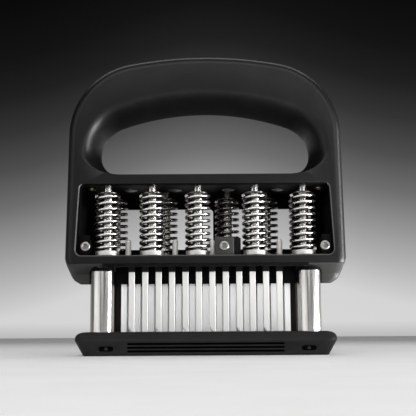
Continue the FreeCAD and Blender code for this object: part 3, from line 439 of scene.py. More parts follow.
# darker, duller copy of the black nylon: painted shade for the room's inside, post holes, grooves, the core
# block and the deck
PAINTED_SHADE_NYLON = moulded("painted_shade_nylon", (0.0016,) * 3, (0.0026,) * 3, (0.55, 0.65), 0.03)
FIN_NYLON = moulded("fin_nylon", (0.0120, 0.0080, 0.0055), (0.0180, 0.0120, 0.0080), (0.40, 0.50), 0.12)
GREY_NYLON = moulded("grey_nylon", (0.018, 0.018, 0.017), (0.027, 0.027, 0.026), (0.42, 0.50), 0.3)
ACETAL = moulded("black_acetal", (0.0050,) * 3, (0.0080,) * 3, (0.30, 0.38), 0.10, 0.1)
# darker, less glossy copies of the black nylon in steps: painted shade for the finger opening's downward
# faces
UNDERSIDE_SHADE_STEPS = 8


def shaded_underside_nylon(step):
    """A nylon that is darker and less glossy with each step, for faces of the finger opening that look
    down: painted shade.
    """
    share = step / UNDERSIDE_SHADE_STEPS
    dark, pale = (0.0030 - 0.0010 * share,) * 3, (0.0045 - 0.0015 * share,) * 3
    rough, gloss = (0.34 + 0.10 * share, 0.41 + 0.12 * share), 0.21 * (0.03 / 0.21) ** share
    return moulded(f"shaded_underside_nylon_{step}", dark, pale, rough, gloss, underside=0.5)


SHADED_UNDERSIDE_NYLONS = [shaded_underside_nylon(step) for step in range(1, UNDERSIDE_SHADE_STEPS + 1)]

TUBE_STEEL = steel("tube_steel", (0.62, 0.61, 0.59), (0.16, 0.24), ALONG_Z, 0.08, 1500, 0.84)
# the springs darken where the wire looks down: painted shade
SPRING_STEEL = steel("spring_steel", (0.76, 0.74, 0.72), (0.22, 0.31), EVEN, 0.05, 700, underside=0.06)
# a darker copy of the spring steel for the rear springs: painted shade
SHADED_REAR_SPRING_STEEL = steel("shaded_rear_spring_steel", (0.34, 0.32, 0.30), (0.22, 0.32), EVEN, 0.05, 700,
                          underside=0.15)
# dark steel for the coils' faces towards the axis: painted shade
INSIDE_SHADE_STEEL = steel("spring_inside_shade_steel", (0.10, 0.095, 0.09), (0.30, 0.42), EVEN, 0.05, 700)
TURNED_STEEL = steel("turned_steel", (0.66, 0.65, 0.62), (0.18, 0.24), AROUND, 0.02, 2500)
# a dark copy of the turned steel: painted shade on the rear seats, rear pins' tops and front pins' flanges
SHADED_PIN_STEEL = steel("shaded_pin_steel", (0.17, 0.16, 0.15), (0.24, 0.36), AROUND, 0.1, 2500)
SEAT_STEEL = steel("seat_steel", (0.62, 0.61, 0.59), (0.42, 0.54), AROUND, 0.1, 2500)
STUD_STEEL = steel("stud_steel", (0.95, 0.94, 0.92), (0.42, 0.52), ALONG_Z, 0.06, 1500, 0.94, 0.15)
# one blade steel in two tones: the inner rows are paler, painted light that makes up for the outer row's
# shade
OUTER_STEEL = steel("outer_blade_steel", (0.63, 0.63, 0.62), (0.34, 0.44), ALONG_Z, 0.06, 1300, 0.93, 0.2)
LIT_INNER_STEEL = steel("lit_inner_blade_steel", (0.97, 0.97, 0.97), (0.34, 0.44), ALONG_Z, 0.06, 1300, 0.97, 0.05)
SCREW_STEEL = steel("screw_steel", (0.42, 0.41, 0.39), (0.26, 0.38), EVEN, 0.1, 900)
# darker steel in the body screws' dished tops: painted shade
DISH_SHADE_STEEL = steel("dish_shade_steel", (0.26, 0.25, 0.24), (0.34, 0.46), EVEN, 0.2, 900)
# near-black steel for the screws deep in the plate's recesses: painted shade
SHADED_SCREW_STEEL = steel("shaded_screw_steel", (0.07, 0.068, 0.065), (0.40, 0.52), EVEN, 0.1, 900)
BRONZED_STEEL = steel("bronzed_steel", (0.30, 0.25, 0.17), (0.30, 0.42), EVEN, 0.1, 900)
RIVET_STEEL = steel("rivet_steel", (0.35, 0.34, 0.33), (0.42, 0.52), EVEN, 0.1, 900)


# ---- housing ---------------------------------------------------------------------

def handle_ring(y, inset):
    """The handle's outline at one depth, all of it moved inwards by inset except the foot."""
    low, high = extent("handle_housing")
    stretch = math.hypot(1, SIDE_SLOPE)
    shoulder_x = SHOULDER_WIDTH / 2 - SHOULDER_RADIUS
    crown_z = high.z - CROWN_RADIUS
    reach = CROWN_RADIUS - SHOULDER_RADIUS
    shoulder_z = crown_z + math.sqrt(reach ** 2 - shoulder_x ** 2)
    lean = math.degrees(math.atan(SIDE_SLOPE))
    join_angle = math.degrees(math.atan2(shoulder_z - crown_z, shoulder_x))
    radius = SHOULDER_RADIUS - inset
    right = arc(shoulder_x, shoulder_z, radius, lean, join_angle, 28)
    crown = arc(0, crown_z, CROWN_RADIUS - inset, join_angle, 180 - join_angle, 40)
    left = [(-x, z) for x, z in reversed(right)]
    side_x = shoulder_x + radius / stretch
    side_z = shoulder_z + radius * SIDE_SLOPE / stretch

    def side_at(level):
        return side_x + (side_z - level) * SIDE_SLOPE
    rise = []
    for step in range(5):
        height = HEEL[1] * step / 4
        cut = HEEL[0] * (1 - step / 4) ** 1.5
        rise.append((side_at(low.z + height) - cut, low.z + height))
    for step in range(1, 8):
        level = low.z + HEEL[1] + (side_z - low.z - HEEL[1]) * step / 8
        rise.append((side_at(level), level))
    return at_depth(rise + right + crown[1:-1] + left + [(-x, z) for x, z in reversed(rise)], y)


def grip_ring(y, grow):
    """The finger opening at one depth: flat floor, elliptic lower corners, round ends, crown."""
    end_x = GRIP_WIDTH / 2 - GRIP_END_RADIUS
    rise = GRIP_CROWN - GRIP_END_LEVEL
    crown = (end_x ** 2 + rise ** 2 - GRIP_END_RADIUS ** 2) / (2 * (rise - GRIP_END_RADIUS))
    crown_z = GRIP_CROWN - crown
    join_angle = math.degrees(math.atan2(GRIP_END_LEVEL - crown_z, end_x))
    end = GRIP_END_RADIUS + grow
    corner = (GRIP_CORNER + GRIP_CORNER_GROWTH * grow, GRIP_END_LEVEL - GRIP_FLOOR)
    foot = arc(end_x + end - corner[0], GRIP_END_LEVEL, corner, -90, 0, 14)
    right = foot + arc(end_x, GRIP_END_LEVEL, end, 0, join_angle, 22)[1:]
    top = arc(0, crown_z, crown + grow, join_angle, 180 - join_angle, 40)
    left = [(-x, z) for x, z in reversed(right)]
    return at_depth(right + top[1:-1] + left, y)


def rounding(face, radius, run, steps):
    """(depth, shift) pairs along a quarter ellipse that ends at a face."""
    angles = [math.pi / 2 * step / steps for step in range(steps + 1)]
    return [(face - run * (1 - math.sin(a)), radius * (1 - math.cos(a))) for a in angles]


def room_cutter(face, back):
    """The spring room, with rounder corners and a chamfer where it opens to the front."""
    width, depth = LIP
    step = SILL_THICKNESS - face
    rings = []
    for y, grow, open_by, corner in (
        (-face - 3, width, 1, MOUTH_CORNER), (-face, width, 1, MOUTH_CORNER),
        (depth - face, 0, 1, MOUTH_CORNER), (step, 0, 1, MOUTH_CORNER),
        (step + 0.1, 0, 0, ROOM_CORNER), (back, 0, 0, ROOM_CORNER),
    ):
        x = (-ROOM_HALF - grow - MOUTH[0] * open_by, ROOM_HALF + grow + MOUTH[1] * open_by)
        z = (SILL - grow, CEILING + grow + MOUTH[2] * open_by)
        rings.append(at_depth(rounded(x, z, corner + grow, 8, ROOM_LEAN), y))
    return loft("room_cutter", rings)


def make_housing():
    low, high = extent("handle_housing")
    face = high.y
    past = face + 3
    back = face - REAR_WALL
    steps = rounding(face, EDGE_ROUND, EDGE_ROUND, 10)
    rings = [handle_ring(-d, s) for d, s in reversed(steps)] + [handle_ring(d, s) for d, s in steps]
    housing = loft("handle_housing_body", rings)

    steps = rounding(face, FUNNEL, face, 16)
    rings = [grip_ring(-past, FUNNEL)] + [grip_ring(-d, s) for d, s in reversed(steps)]
    rings += [grip_ring(d, s) for d, s in steps[1:]] + [grip_ring(past, FUNNEL)]
    cutters = [loft("grip_cutter", rings), room_cutter(face, back)]

    throat = (-ROOM_HALF, ROOM_HALF), (SILL_THICKNESS - face, back), (low.z - 2, SILL + ROOM_CORNER)
    cutters.append(box("throat_cutter", *throat))
    rail = extent("top_rail")
    cutters.append(node_box("rail_cutter", "top_rail", 0, (rail[0].z - 1, rail[1].z)))
    width, depth = LIP
    for number, side in enumerate(((-REAR_WINDOW_HALF, RIB[0]), (RIB[1], REAR_WINDOW_HALF))):
        rings = []
        for y, grow in ((back - 1, 0), (face - depth, 0), (face, width), (past, width)):
            x = (side[0] - grow, side[1] + grow)
            z = (REAR_WINDOW[0] - grow, REAR_WINDOW[1] + grow)
            rings.append(at_depth(rounded(x, z, 2 + grow), y))
        cutters.append(loft(f"rear_window_cutter_{number}", rings))
    carve(housing, cutters)

    bosses = []
    for sign in (-1, 1):
        x = sorted((sign * TAB[0], sign * (ROOM_HALF + 0.5)))
        bosses.append(box(f"boss_{sign + 1}", x, (-15.3, -6.3), (SCREW_LEVEL - 4, SCREW_LEVEL + 4)))
    housing = join("handle_housing_shell", [housing] + bosses)
    smooth(housing, 30)
    dress(housing, NYLON, "handle", ["handle_housing"])
    reach = ROOM_HALF + MOUTH[0] + 0.1
    lip_back = LIP[1] - face

    # the spring room's inside takes painted shade
    def in_room(point, normal):
        level = SILL - 0.3 < point.z < CEILING + 1
        return level and abs(point.x) < reach and lip_back + 0.05 < point.y < back + 0.05

    # the lip round the room's opening takes the painted highlight
    def on_lip(point, normal):
        top = CEILING - 1.5 if abs(point.x) < ROOM_HALF - 5 else CEILING + 0.4
        level = SILL - 1 < point.z < top and abs(point.x) < reach + 0.7
        return level and -face + 0.02 < point.y < lip_back and abs(normal.y) < 0.95

    def looks_down(least):
        def chosen(point, normal):
            return point.z > GRIP_FLOOR + 5 and -normal.z > least and abs(point.y) < face - 0.1
        return chosen
    # the finger opening's faces that look down take the stepped nylons: painted shade
    under = [(nylon, looks_down(0.53 + 0.05 * step)) for step, nylon in enumerate(SHADED_UNDERSIDE_NYLONS)]
    shade(housing, *under, (PAINTED_SHADE_NYLON, in_room), (HIGHLIGHT_LIP_NYLON, on_lip))


# ---- lower body ------------------------------------------------------------------

def make_lower_body():
    low = extent("lower_body")[0]
    brim = extent("handle_housing")[0].z
    bar_low, bar_high = extent("front_blade_bar")
    core = bar_high.x + 2.6
    hole = (extent("front_bush_left")[1].x - extent("front_bush_left")[0].x) / 2
    profile = (
        # level, half width, half depth, corner radius
        (low.z, 71.2, 11.4, 2.2), (low.z + 0.25, 71.9, 11.8, 2.6), (low.z + 0.8, 72.8, 12.0, 3.0),
        (42.4, 75.2, 12.2, 3.6), (44.2, 76.5, 12.36, 4.2), (45.7, 77.3, 12.5, 4.6), (46.3, 77.5, 13.2, 4.8),
        (48.6, 78.2, 16.8, 5.0), (brim - 0.35, 78.75, 20.85, 5.0), (brim, 78.6, 20.6, 5.0),
    )
    rings = []
    for number, (level, a, b, r) in enumerate(profile):
        rise = SKIRT_RISE * max(1 - number / 5, 0)
        rings.append([(x, y, level + rise * (y + b) / (2 * b)) for x, y in rounded((-a, a), (-b, b), r)])
    skirt = loft("lower_body_skirt", rings)

    centres = [middle_of(post) for post in POSTS]

    def post_holes(name, z):
        return join(name, [rod(f"{name}_{k}", hole, c.x, c.y, z) for k, c in enumerate(centres)])

    def fin_slots(name, z):
        return join(name, [node_box(f"{name}_{node}", node, 0.35, z) for node in FINS])

    def bar_pockets(name, z):
        pockets = []
        for end, sign in (("front", -1), ("rear", 1)):
            y = sorted((8.4 * sign, (-bar_low.y + 0.2) * sign))
            pockets.append(box(f"{name}_{end}", (bar_low.x - 0.2, bar_high.x + 0.2), y, z))
        return join(name, pockets)

    cutters = [
        post_holes("post_holes", (low.z - 2, brim + 2)), fin_slots("fin_slots", (low.z - 2.6, brim + 2.6)),
        box("core_space", (-core, core), (-23, 23), (low.z - 2.2, BAR_BOTTOM)),
        bar_pockets("bar_pockets", (BAR_BOTTOM - 1, brim + 2.3)),
    ]
    carve(skirt, cutters)
    cut_across(skirt, -BAND_END, BAND_END)
    soften(skirt, 0.2, 2, 40)
    collars = []
    for k, post in enumerate(POSTS):
        bore = (extent(post)[1].x - extent(post)[0].x) / 2 + 0.08
        profile = [(bore + 0.2, COLLAR[0]), (hole - 0.02, COLLAR[0]), (hole - 0.02, COLLAR[1]),
                   (bore, COLLAR[1]), (bore, COLLAR[0] + 0.2)]
        collars.append(turn(f"collar_{k}", profile, centres[k].x, centres[k].y, 72))
    skirt = join("lower_body_shell", [skirt] + collars)
    smooth(skirt, 30)
    dress(skirt, SKIRT_NYLON, "handle", ["lower_body"])

    # the walls of the post holes take painted shade
    def in_hole(point, normal):
        return point.z > low.z + 0.7 and any((point - centre).xy.length < hole + 0.05 for centre in centres)

    # the lower body's front between the posts takes painted shade
    def shaded_band(point, normal):
        return point.z > 45.0 and abs(point.x) < BAND_END and normal.y < -0.2
    shade(skirt, (SHADED_DARK_NYLON, shaded_band), (PAINTED_SHADE_NYLON, in_hole))

    block = loft("lower_body_core", [[(x, y, z) for x, y in rounded((-core, core), (-12.05, 12.05), 0.4, 4)]
                                     for z in (low.z, BAR_BOTTOM)])
    half = bar_high.x - 0.3
    ways = [box(f"blade_way_{sign + 1}", (-half, half), (INNER_ROW * sign - 0.95, INNER_ROW * sign + 0.95),
                (low.z - 2.3, BAR_BOTTOM + 1)) for sign in (-1, 1)]
    hollow = box("core_hollow", (-half, half), (-7.6, 7.6), (low.z - 2.1, 45.8))
    slots = fin_slots("core_fin_slots", (low.z - 2.4, BAR_BOTTOM + 2))
    carve(block, [join("blade_ways", ways), hollow, slots])
    soften(block, 0.15, 2, 40)
    smooth(block, 30)
    # the core block, seen between the front blades, is painted in shade
    dress(block, PAINTED_SHADE_NYLON, "handle")

    plug = box("lower_body_deck", (-TAB[1], TAB[1]), (-TAB_FACE, 18.4), (brim - 0.6, 52.0))
    cuts = [post_holes("deck_holes", (brim - 3, 55)), bar_pockets("deck_pockets", (brim - 3.3, 56)),
            fin_slots("deck_fin_slots", (brim - 4, 57))]
    carve(plug, cuts)
    tabs = []
    for sign in (-1, 1):
        x = sorted((sign * TAB[0], sign * TAB[1]))
        tabs.append(box(f"tab_{sign + 1}", x, (-TAB_FACE, -15.3), (51.9, 67.5)))
    deck = join("lower_body_plug", [plug] + tabs)
    soften(deck, 0.3)
    smooth(deck)
    # the deck and the screw tabs are painted in shade
    dress(deck, PAINTED_SHADE_NYLON, "handle")

    pad = box("middle_pad", (5.2, 16.2), (-TAB_FACE, -16.6), (51.9, 66.3))
    soften(pad, 0.6, 3)
    smooth(pad)
    dress(pad, GREY_NYLON, "handle")


# ---- guard plate -----------------------------------------------------------------

def blade_rows():
    """Name, distance from the middle plane, pitch and count of each kind of row."""
    return ("outer", OUTER_ROW, OUTER_PITCH, OUTER_BLADES), ("inner", INNER_ROW, INNER_PITCH, INNER_BLADES)


def row_places(pitch, count):
    return [pitch * (k - (count - 1) / 2) for k in range(count)]


def make_guard_plate():
    high = extent("guard_plate")[1]
    waist = 8.4
    levels = [(0.0, 5.1, 1.7), (0.5, 4.6, 1.15), (waist - 0.25, 0.15, 0.04)]
    rise = high.z - waist
    steps = 9
    for step in range(steps + 1):
        angle = math.pi / 2 * step / steps
        level = waist + 0.25 + (rise - 0.25) * math.sin(angle)
        inset = 6.4 * (1 - math.cos(angle)) ** 1.3
        levels.append((level, inset, 0.1 + 3.5 * (level - waist) / rise + 0.35 * (step / steps) ** 6))
    rings = []
    for level, side, front in levels:
        x, y = (side - high.x, high.x - side), (front - high.y, high.y - front)
        rings.append([(px, py, level) for px, py in rounded(x, y, 7.0 - front)])
    plate = loft("guard_plate_body", rings)

    top = high.z + 2
    sockets = []
    for k, node in enumerate(POSTS):
        low, up = extent(node)
        centre = (low + up) / 2
        sockets.append(rod(f"socket_{k}", (up.x - low.x) / 2 + 0.05, centre.x, centre.y, (low.z, top)))
    sockets += [node_box("socket_" + node, node, 0, (extent(node)[0].z, top)) for node in FINS]
    slots = []
    for kind, row, pitch, count in blade_rows():
        for k, x in enumerate(row_places(pitch, count)):
            for sign in (-1, 1):
                way = (x - GUARD_SLOT[0] / 2, x + GUARD_SLOT[0] / 2)
                y = (row * sign - GUARD_SLOT[1] / 2, row * sign + GUARD_SLOT[1] / 2)
                slots.append(box(f"guard_slot_{kind}_{k}_{sign + 1}", way, y, (-2, top)))
    cuts = []
    length, height, depth = GROOVE
    for number, z in enumerate(GROOVE_LEVELS):
        outline = rounded((-length / 2, length / 2), (z - height / 2, z + height / 2), 0.58, 4)
        depths = -high.y - 2, depth - high.y
        cuts.append(loft(f"groove_{number}", [at_depth(outline, y) for y in depths]))
    half_x, half_z = RECESS_SIZE[0] / 2, RECESS_SIZE[1] / 2
    for number, (side, x) in enumerate(RECESSES):
        z = (RECESS_LEVEL - half_z, RECESS_LEVEL + half_z)
        outline = rounded((x - half_x, x + half_x), z, half_z - 0.02, 6)
        depths = (high.y + 2) * side, (high.y - RECESS_DEPTH) * side
        cuts.append(loft(f"recess_{number}", [at_depth(outline, y) for y in depths]))
    carve(plate, [join("sockets", sockets), join("guard_slots", slots), join("face_cuts", cuts)])
    soften(plate, 0.2, 2, 40)
    smooth(plate, 35)
    dress(plate, PLATE_NYLON, "guard", ["guard_plate"])

    # the grooves and recesses of the plate take painted shade
    def in_cut(point, normal):
        depth_in = high.y - abs(point.y)
        place = abs(point.x) < 62 and 1.5 < point.z < 7.5 and 0.5 < depth_in < 2.5
        return place and (abs(normal.z) > 0.2 or abs(normal.x) > 0.2 or depth_in > 1.9)
    shade(plate, (PAINTED_SHADE_NYLON, in_cut))


# ---- steel pieces ----------------------------------------------------------------

def make_posts():
    for post in POSTS:
        low, high = extent(post)
        centre = (low + high) / 2
        outer = (high.x - low.x) / 2
        edge = 0.25
        profile = [(outer - edge, low.z), (outer, low.z + edge), (outer, high.z - edge),
                   (outer - edge, high.z), (outer - TUBE_WALL, high.z), (outer - TUBE_WALL, low.z)]
        tube = turn(post + "_tube", profile, centre.x, centre.y, 96)
        smooth(tube)
        dress(tube, TUBE_STEEL, "guard", [post])

        bush = post.replace("post", "bush")
        low, high = extent(bush)
        ring, bore, edge = (high.x - low.x) / 2 - 0.02, outer + 0.08, 0.25
        profile = [(bore + edge, low.z), (ring, low.z), (ring, high.z), (bore, high.z),
                   (bore, low.z + edge)]
        sleeve = turn(bush + "_sleeve", profile, centre.x, centre.y, 96)
        smooth(sleeve)
        dress(sleeve, ACETAL, "handle", [bush])


def spring_names():
    return [f"{end}_{number}" for end in ("front", "rear") for number in range(1, 6)]


def make_seats():
    for place in spring_names():
        node = "spring_seat_" + place
        low, high = extent(node)
        centre = (low + high) / 2
        r, edge = (high.x - low.x) / 2 + 0.4, 0.35
        profile = [(3.35, low.z), (4.1, low.z), (4.1, CARRIER_TOP), (r - 0.2, CARRIER_TOP),
                   (r, CARRIER_TOP + 0.2), (r, high.z - edge)]
        profile += [(r - edge * (1 - math.cos(a)), high.z - edge * (1 - math.sin(a)))
                    for a in (math.pi / 6, math.pi / 3, math.pi / 2)]
        profile += [(3.6, high.z), (3.35, high.z - 0.25)]
        seat = turn(node + "_turned", profile, centre.x, centre.y, 72)
        smooth(seat)
        # the rear seats take painted shade
        metal = SEAT_STEEL if place.startswith("front") else SHADED_PIN_STEEL
        dress(seat, metal, "guard", [node])


def make_pins():
    for place in spring_names():
        node = "spring_pin_" + place
        low, high = extent(node)
        centre = (low + high) / 2
        flange, shoulder = FLANGE
        r, wide = PIN_RADIUS, (high.x - low.x) / 2
        profile = [(0, low.z), (r - 0.4, low.z), (r, low.z + 0.4), (r, PIN_SHADE), (r, flange),
                   (wide - 0.2, flange), (wide, flange + 0.2), (wide, shoulder - 0.2),
                   (wide - 0.2, shoulder), (PIN_NECK + 0.25, shoulder), (PIN_NECK, shoulder + 0.3),
                   (PIN_NECK, CEILING), (PIN_SPIGOT, CEILING), (PIN_SPIGOT, high.z), (0, high.z)]
        pin = turn(node + "_turned", profile, centre.x, centre.y, 72)
        smooth(pin)
        dress(pin, TURNED_STEEL, "handle", [node])
        # painted shade on the rear pins above PIN_SHADE and on the front pins' flanges
        front = place.startswith("front")
        dull = (flange - 0.05, shoulder + 0.05) if front else (PIN_SHADE, high.z)
        shade(pin, (SHADED_PIN_STEEL, lambda point, normal: dull[0] < point.z < dull[1]))


def coil(name, x, y, low, high, around=14, steps=36):
    """A right-handed helix of round wire with closed, flat-lying ends."""
    count = int(SPRING_TURNS * steps)
    rings = []
    for step in range(count + 1):
        at = SPRING_TURNS * step / count
        share = min(max((at - CLOSED_TURNS / 2) / (SPRING_TURNS - CLOSED_TURNS), 0.0), 1.0)
        share += EASE * (share * share * (3 - 2 * share) - share)
        z = low + WIRE / 2 + (high - low - WIRE) * share
        angle = 2 * math.pi * at
        out = Vector((math.cos(angle), math.sin(angle), 0))
        middle = Vector((x, y, z)) + out * SPRING_RADIUS
        ring = []
        for k in range(around):
            a = 2 * math.pi * k / around
            ring.append(middle + out * (WIRE / 2 * math.cos(a)) + Vector((0, 0, WIRE / 2 * math.sin(a))))
        rings.append(ring)
    return loft(name, rings)


def make_springs():
    for place in spring_names():
        node = "spring_" + place
        low, high = extent(node)
        centre = (low + high) / 2
        spring = coil(node + "_wire", centre.x, centre.y, low.z, high.z)
        smooth(spring, 50)
        # the rear springs take the darker steel: painted shade
        metal = SPRING_STEEL if place.startswith("front") else SHADED_REAR_SPRING_STEEL
        dress(spring, metal, "guard", [node])

        # the wire's faces towards the spring's axis take painted shade
        def inside(point, normal):
            return (point.x - centre.x) * normal.x + (point.y - centre.y) * normal.y < -0.25 * SPRING_RADIUS
        shade(spring, (INSIDE_SHADE_STEEL, inside))
        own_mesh(spring)


def make_blade(name, x, y, tip, top, bevel, leaning):
    """One flat blade with ground long edges and a slanting, sharpened tip."""
    half, thick = 1.68, 0.45
    edge = 0.22
    outline = [(-half, -thick + edge), (-half + edge, -thick), (half - edge, -thick), (half, -thick + edge),
               (half, thick - edge), (half - edge, thick), (-half + edge, thick), (-half, thick - edge)]
    grind = 1.2

    def ring(rise, share):
        points = []
        for px, py in outline:
            slant = (half - px if leaning else half + px) / (2 * half) * bevel
            points.append((x + px, y + py * share, tip + slant + rise))
        return points
    return loft(name, [ring(0, 0.15), ring(grind, 1.0), [(x + px, y + py, top) for px, py in outline]])


def make_blades():
    for end, sign in (("front", -1), ("rear", 1)):
        for kind, row, pitch, count in blade_rows():
            node = f"{end}_{kind}_blades"
            low, high = extent(node)
            pieces = []
            for k, x in enumerate(row_places(pitch, count)):
                bevel, leaning = BLADE_BEVELS[kind][k % 2], k % 2 == 0
                pieces.append(make_blade(f"{node}_{k}", x, row * sign, low.z, high.z, bevel, leaning))
            blades = join(node + "_ground", pieces)
            smooth(blades, 10)
            # the inner rows take the paler steel: painted light
            metal = OUTER_STEEL if kind == "outer" else LIT_INNER_STEEL
            dress(blades, metal, "handle", [node])


def make_screw(name, size, length, place, outward):
    """A pan-head screw with a dished, crossed top. It is made upright, then turned outward."""
    radius, height, shank = size
    rim, dish = radius * 0.74, radius * 0.5
    head = [(shank, 0), (radius - 0.1, 0), (radius, 0.12), (radius, height * 0.4)]
    for step in range(1, 6):
        angle = math.pi / 2 * step / 5
        head.append((rim + (radius - rim) * math.cos(angle), height * (0.4 + 0.6 * math.sin(angle))))
    head += [(dish + 0.1, height), (dish, height - 0.12), (dish * 0.86, height * 0.66), (0, height * 0.66)]
    profile = [(0, -length), (shank - 0.2, -length), (shank, -length + 0.2)] + head
    screw = turn(name, profile, 0, 0, 40)
    arm, width, depth = dish * 0.85, radius * 0.16, height * 0.45
    recess = [box(name + "_slot_a", (-arm, arm), (-width, width), (height * 0.66 - depth, height + 1)),
              box(name + "_slot_b", (-width, width), (-arm, arm), (height * 0.66 - depth, height + 1))]
    carve(screw, recess)
    turned = Vector((0, 0, 1)).rotation_difference(Vector(outward)).to_matrix().to_4x4()
    screw.data.transform(Matrix.Translation(Vector(place) * MM) @ turned)
    return screw


def make_screws():
    pieces = []
    for number, (x, length) in enumerate(BODY_SCREWS):
        place = (x, -TAB_FACE, SCREW_LEVEL - SCREW_DROP)
        pieces.append(make_screw(f"body_screw_{number}", PAN_SCREW, length, place, (0, -1, 0)))
    screws = smooth(join("body_screws_pan", pieces), 40)
    dress(screws, SCREW_STEEL, "handle", ["body_screws"])
    axes = [Vector((x, SCREW_LEVEL - SCREW_DROP)) for x, length in BODY_SCREWS]

    # the dished, crossed tops of the body screws take painted shade
    def in_dish(point, normal):
        return point.y > -TAB_FACE - 0.85 and any((point.xz - axis).length < 1.25 for axis in axes)
    shade(screws, (DISH_SHADE_STEEL, in_dish))

    pieces = []
    for number, sign in enumerate((-1, 1)):
        place = (RAIL_SCREW[0] * sign, RAIL_SCREW[1], CEILING)
        pieces.append(make_screw(f"rail_screw_{number}", PAN_SCREW, 4.4, place, (0, 0, -1)))
    screws = smooth(join("rail_screws_pan", pieces), 40)
    dress(screws, BRONZED_STEEL, "handle", ["rail_screws"])

    pieces = []
    for number, (side, x) in enumerate(RECESSES):
        end = "front" if side < 0 else "rear"
        post = middle_of(f"{end}_post_left")
        outer = (extent(f"{end}_post_left")[1].x - extent(f"{end}_post_left")[0].x) / 2
        seat = extent("guard_plate")[1].y - RECESS_DEPTH
        length = seat - abs(post.y) - outer
        place = (x, seat * side, RECESS_LEVEL)
        pieces.append(make_screw(f"post_screw_{number}", POST_SCREW, length, place, (0, side, 0)))
    screws = smooth(join("post_screws_pan", pieces), 40)
    # the post screws in their recesses are painted in shade
    dress(screws, SHADED_SCREW_STEEL, "guard", ["post_screws"])


def dome(radius, rise, level, steps):
    """Points of a dome from its rim to just short of its pole; rise may point down."""
    angles = [math.pi / 2 * step / steps for step in range(steps)]
    return [(radius * math.cos(a), level + rise * math.sin(a)) for a in angles]


def make_studs_and_rivets():
    low, high = extent("guide_studs")
    pieces = []
    for number, x in enumerate(STUDS):
        r = (high.y - low.y) / 2
        profile = [(0, low.z), (r, low.z)] + dome(r, r, high.z - r, 8) + [(0, high.z)]
        pieces.append(turn(f"stud_{number}", profile, x, 0, 40))
    studs = smooth(join("guide_studs_domed", pieces), 40)
    dress(studs, STUD_STEEL, "handle", ["guide_studs"])

    low, high = extent("rail_rivets")
    pieces = []
    for number, x in enumerate(RIVETS):
        head = dome(RIVET_HEAD, low.z - CEILING, CEILING, 6)
        profile = [(0, high.z), (RIVET_SHANK, high.z), (RIVET_SHANK, CEILING)] + head + [(0, low.z)]
        pieces.append(turn(f"rivet_{number}", profile, x, 0, 40))
    rivets = smooth(join("rail_rivets_domed", pieces), 40)
    dress(rivets, RIVET_STEEL, "handle", ["rail_rivets"])


def dress_cad_nodes():
    """CAD nodes that are shown as they are."""
    for node, material in (
        ("spring_carrier", SHADED_DARK_NYLON), ("top_rail", SHADED_DARK_NYLON), ("guide_fin_left", FIN_NYLON),
        ("guide_fin_right", FIN_NYLON), ("front_blade_bar", SHADED_DARK_NYLON), ("rear_blade_bar", SHADED_DARK_NYLON),
    ):
        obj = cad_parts[node]
        obj.data.materials.clear()
        obj.data.materials.append(material)


# ---- studio ----------------------------------------------------------------------

def make_floor():
    size = 12000.0
    corners = [(-size, -size, 0), (size, -size, 0), (size, size, 0), (-size, size, 0)]
    floor = new_mesh("floor", corners, [(0, 1, 2, 3)])
    material, tree, principled = shader("studio_floor")
    # the floor's colour grows paler further back: painted light where the lamps reach less
    far = maths(tree, "MULTIPLY", maths(tree, "ADD", axes_of(tree, "Object")["Y"], -0.5), 0.6)
    painted_far_light = ramp(tree, far, 0.76, 1.0, 0.0, 1.0)
    paper = ramp(tree, noise(tree, 30, 3), 0.905, 0.955)
    tree.links.new(multiplied(tree, paper, painted_far_light), principled.inputs["Base Color"])
    principled.inputs["Roughness"].default_value = 0.58
    floor.data.materials.append(material)


def lamp_panel(name, size, radiance):
    """A rectangular lamp with its size in millimetres; it shines along its own -Z."""
    light = bpy.data.lights.new(name, "AREA")
    light.shape = "RECTANGLE"
    light.size, light.size_y = size[0] * MM, size[1] * MM
    light.energy = math.pi * radiance * light.size * light.size_y
    lamp = bpy.data.objects.new(name, light)
    bpy.context.scene.collection.objects.link(lamp)
    return lamp


def make_lights():
    # name, direction from the object (azimuth from the front, elevation), distance, size, radiance
    for name, azimuth, elevation, distance, size, radiance in (
        ("low_front_strip", 0, 5.5, 1500, (560, 80), 3.4),
        ("high_front_panel", 0, 43, 1100, (1170, 640), 3.1),
        ("left_panel", -49, -1.0, 1000, (1060, 110), 1.7),
        ("left_middle_panel", -65, 7.5, 1000, (900, 80), 2.2),
        ("left_upper_panel", -50, 22, 900, (420, 330), 1.8),
        ("right_front_panel", 38, 16, 1000, (260, 350), 5.0),
        ("right_key", 80, 4.5, 900, (230, 290), 25.0),
        ("top_panel", 180, 70, 900, (1300, 420), 2.0),
    ):
        turned, raised = math.radians(azimuth), math.radians(elevation)
        across = math.cos(raised)
        away = Vector((math.sin(turned) * across, -math.cos(turned) * across, math.sin(raised)))
        lamp = lamp_panel(name, size, radiance)
        lamp.location = (Vector((0, 0, 80)) + away * distance) * MM
        lamp.rotation_euler = away.to_track_quat("Z", "Y").to_euler()

    # a card that lies flat on the floor and shines up, to the right and out of the picture
    card = lamp_panel("right_low_card", (190, 200), 46.0)
    card.location = Vector((250, -75, 6)) * MM
    card.rotation_euler = (math.pi, 0, 0)


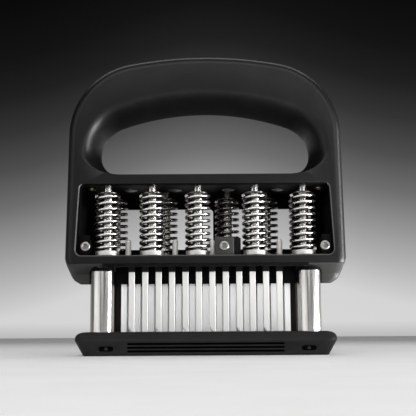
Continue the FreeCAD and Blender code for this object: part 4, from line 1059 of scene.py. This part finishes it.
def make_backdrop():
    """A backdrop that is pale at the horizon and dark above, paler behind the object."""
    world = bpy.data.worlds.new("studio")
    bpy.context.scene.world = world
    world.use_nodes = True
    tree = world.node_tree
    fill = tree.nodes["Background"]
    fill.inputs["Color"].default_value = (0.30, 0.30, 0.30, 1)
    across, ahead, up = axes_of(tree, "Generated")
    glow_width, glow_lift, edge_drop = 0.175, 0.078, 0.018
    square = maths(tree, "MULTIPLY", across, across)
    glow = maths(tree, "EXPONENT", maths(tree, "MULTIPLY", square, -1 / glow_width ** 2))
    drop = maths(tree, "ADD", maths(tree, "MULTIPLY", glow, -glow_lift), edge_drop)
    drop = maths(tree, "ADD", drop, maths(tree, "MULTIPLY", across, -0.03))
    height = maths(tree, "ADD", up, drop)
    colours = tree.nodes.new("ShaderNodeValToRGB")
    tree.links.new(height, colours.inputs["Fac"])
    stops = ((0.0, 0.67), (0.03, 0.66), (0.0715, 0.46), (0.113, 0.30), (0.155, 0.155),
             (0.196, 0.075), (0.237, 0.034), (0.276, 0.014), (0.316, 0.0066), (0.371, 0.003))
    elements = colours.color_ramp.elements
    for number, (position, value) in enumerate(stops):
        stop = elements[number] if number < 2 else elements.new(position)
        stop.position = position
        stop.color = (value, value, value, 1)
    backdrop = tree.nodes.new("ShaderNodeBackground")
    tree.links.new(colours.outputs["Color"], backdrop.inputs["Color"])
    haze = maths(tree, "ADD", maths(tree, "MULTIPLY", up, 16.0), 0.74)
    behind = maths(tree, "MULTIPLY", maths(tree, "ADD", ahead, -0.1), 2.0)
    behind = maths(tree, "MINIMUM", maths(tree, "MAXIMUM", behind, 0.25), 1.0)
    strength = maths(tree, "MULTIPLY", maths(tree, "MINIMUM", haze, 1.0), behind)
    tree.links.new(strength, backdrop.inputs["Strength"])
    path = tree.nodes.new("ShaderNodeLightPath")
    seen = maths(tree, "MAXIMUM", path.outputs["Is Camera Ray"], path.outputs["Is Glossy Ray"])
    seen = maths(tree, "MAXIMUM", seen, path.outputs["Is Transmission Ray"])
    mix = tree.nodes.new("ShaderNodeMixShader")
    tree.links.new(seen, mix.inputs["Fac"])
    tree.links.new(fill.outputs["Background"], mix.inputs[1])
    tree.links.new(backdrop.outputs["Background"], mix.inputs[2])
    tree.links.new(mix.outputs["Shader"], tree.nodes["World Output"].inputs["Surface"])


def make_camera():
    place = Vector((1.6, -502.5, 10.4))
    pitch, roll = math.radians(8.5), math.radians(0.35)
    camera = bpy.data.cameras.new("camera")
    camera.sensor_width = 36.0
    camera.lens = 860.0 / 416.0 * camera.sensor_width
    camera.clip_start, camera.clip_end = 0.02, 50.0
    obj = bpy.data.objects.new("camera", camera)
    bpy.context.scene.collection.objects.link(obj)
    turned = Matrix.Rotation(math.pi / 2 + pitch, 4, "X") @ Matrix.Rotation(-roll, 4, "Z")
    obj.matrix_world = Matrix.Translation(place * MM) @ turned
    bpy.context.scene.camera = obj


make_camera()
make_lights()
make_backdrop()
make_floor()
make_housing()
make_lower_body()
make_guard_plate()
make_posts()
make_seats()
make_pins()
make_springs()
make_blades()
make_screws()
make_studs_and_rivets()
dress_cad_nodes()

scene = bpy.context.scene
scene.view_settings.view_transform = "Standard"
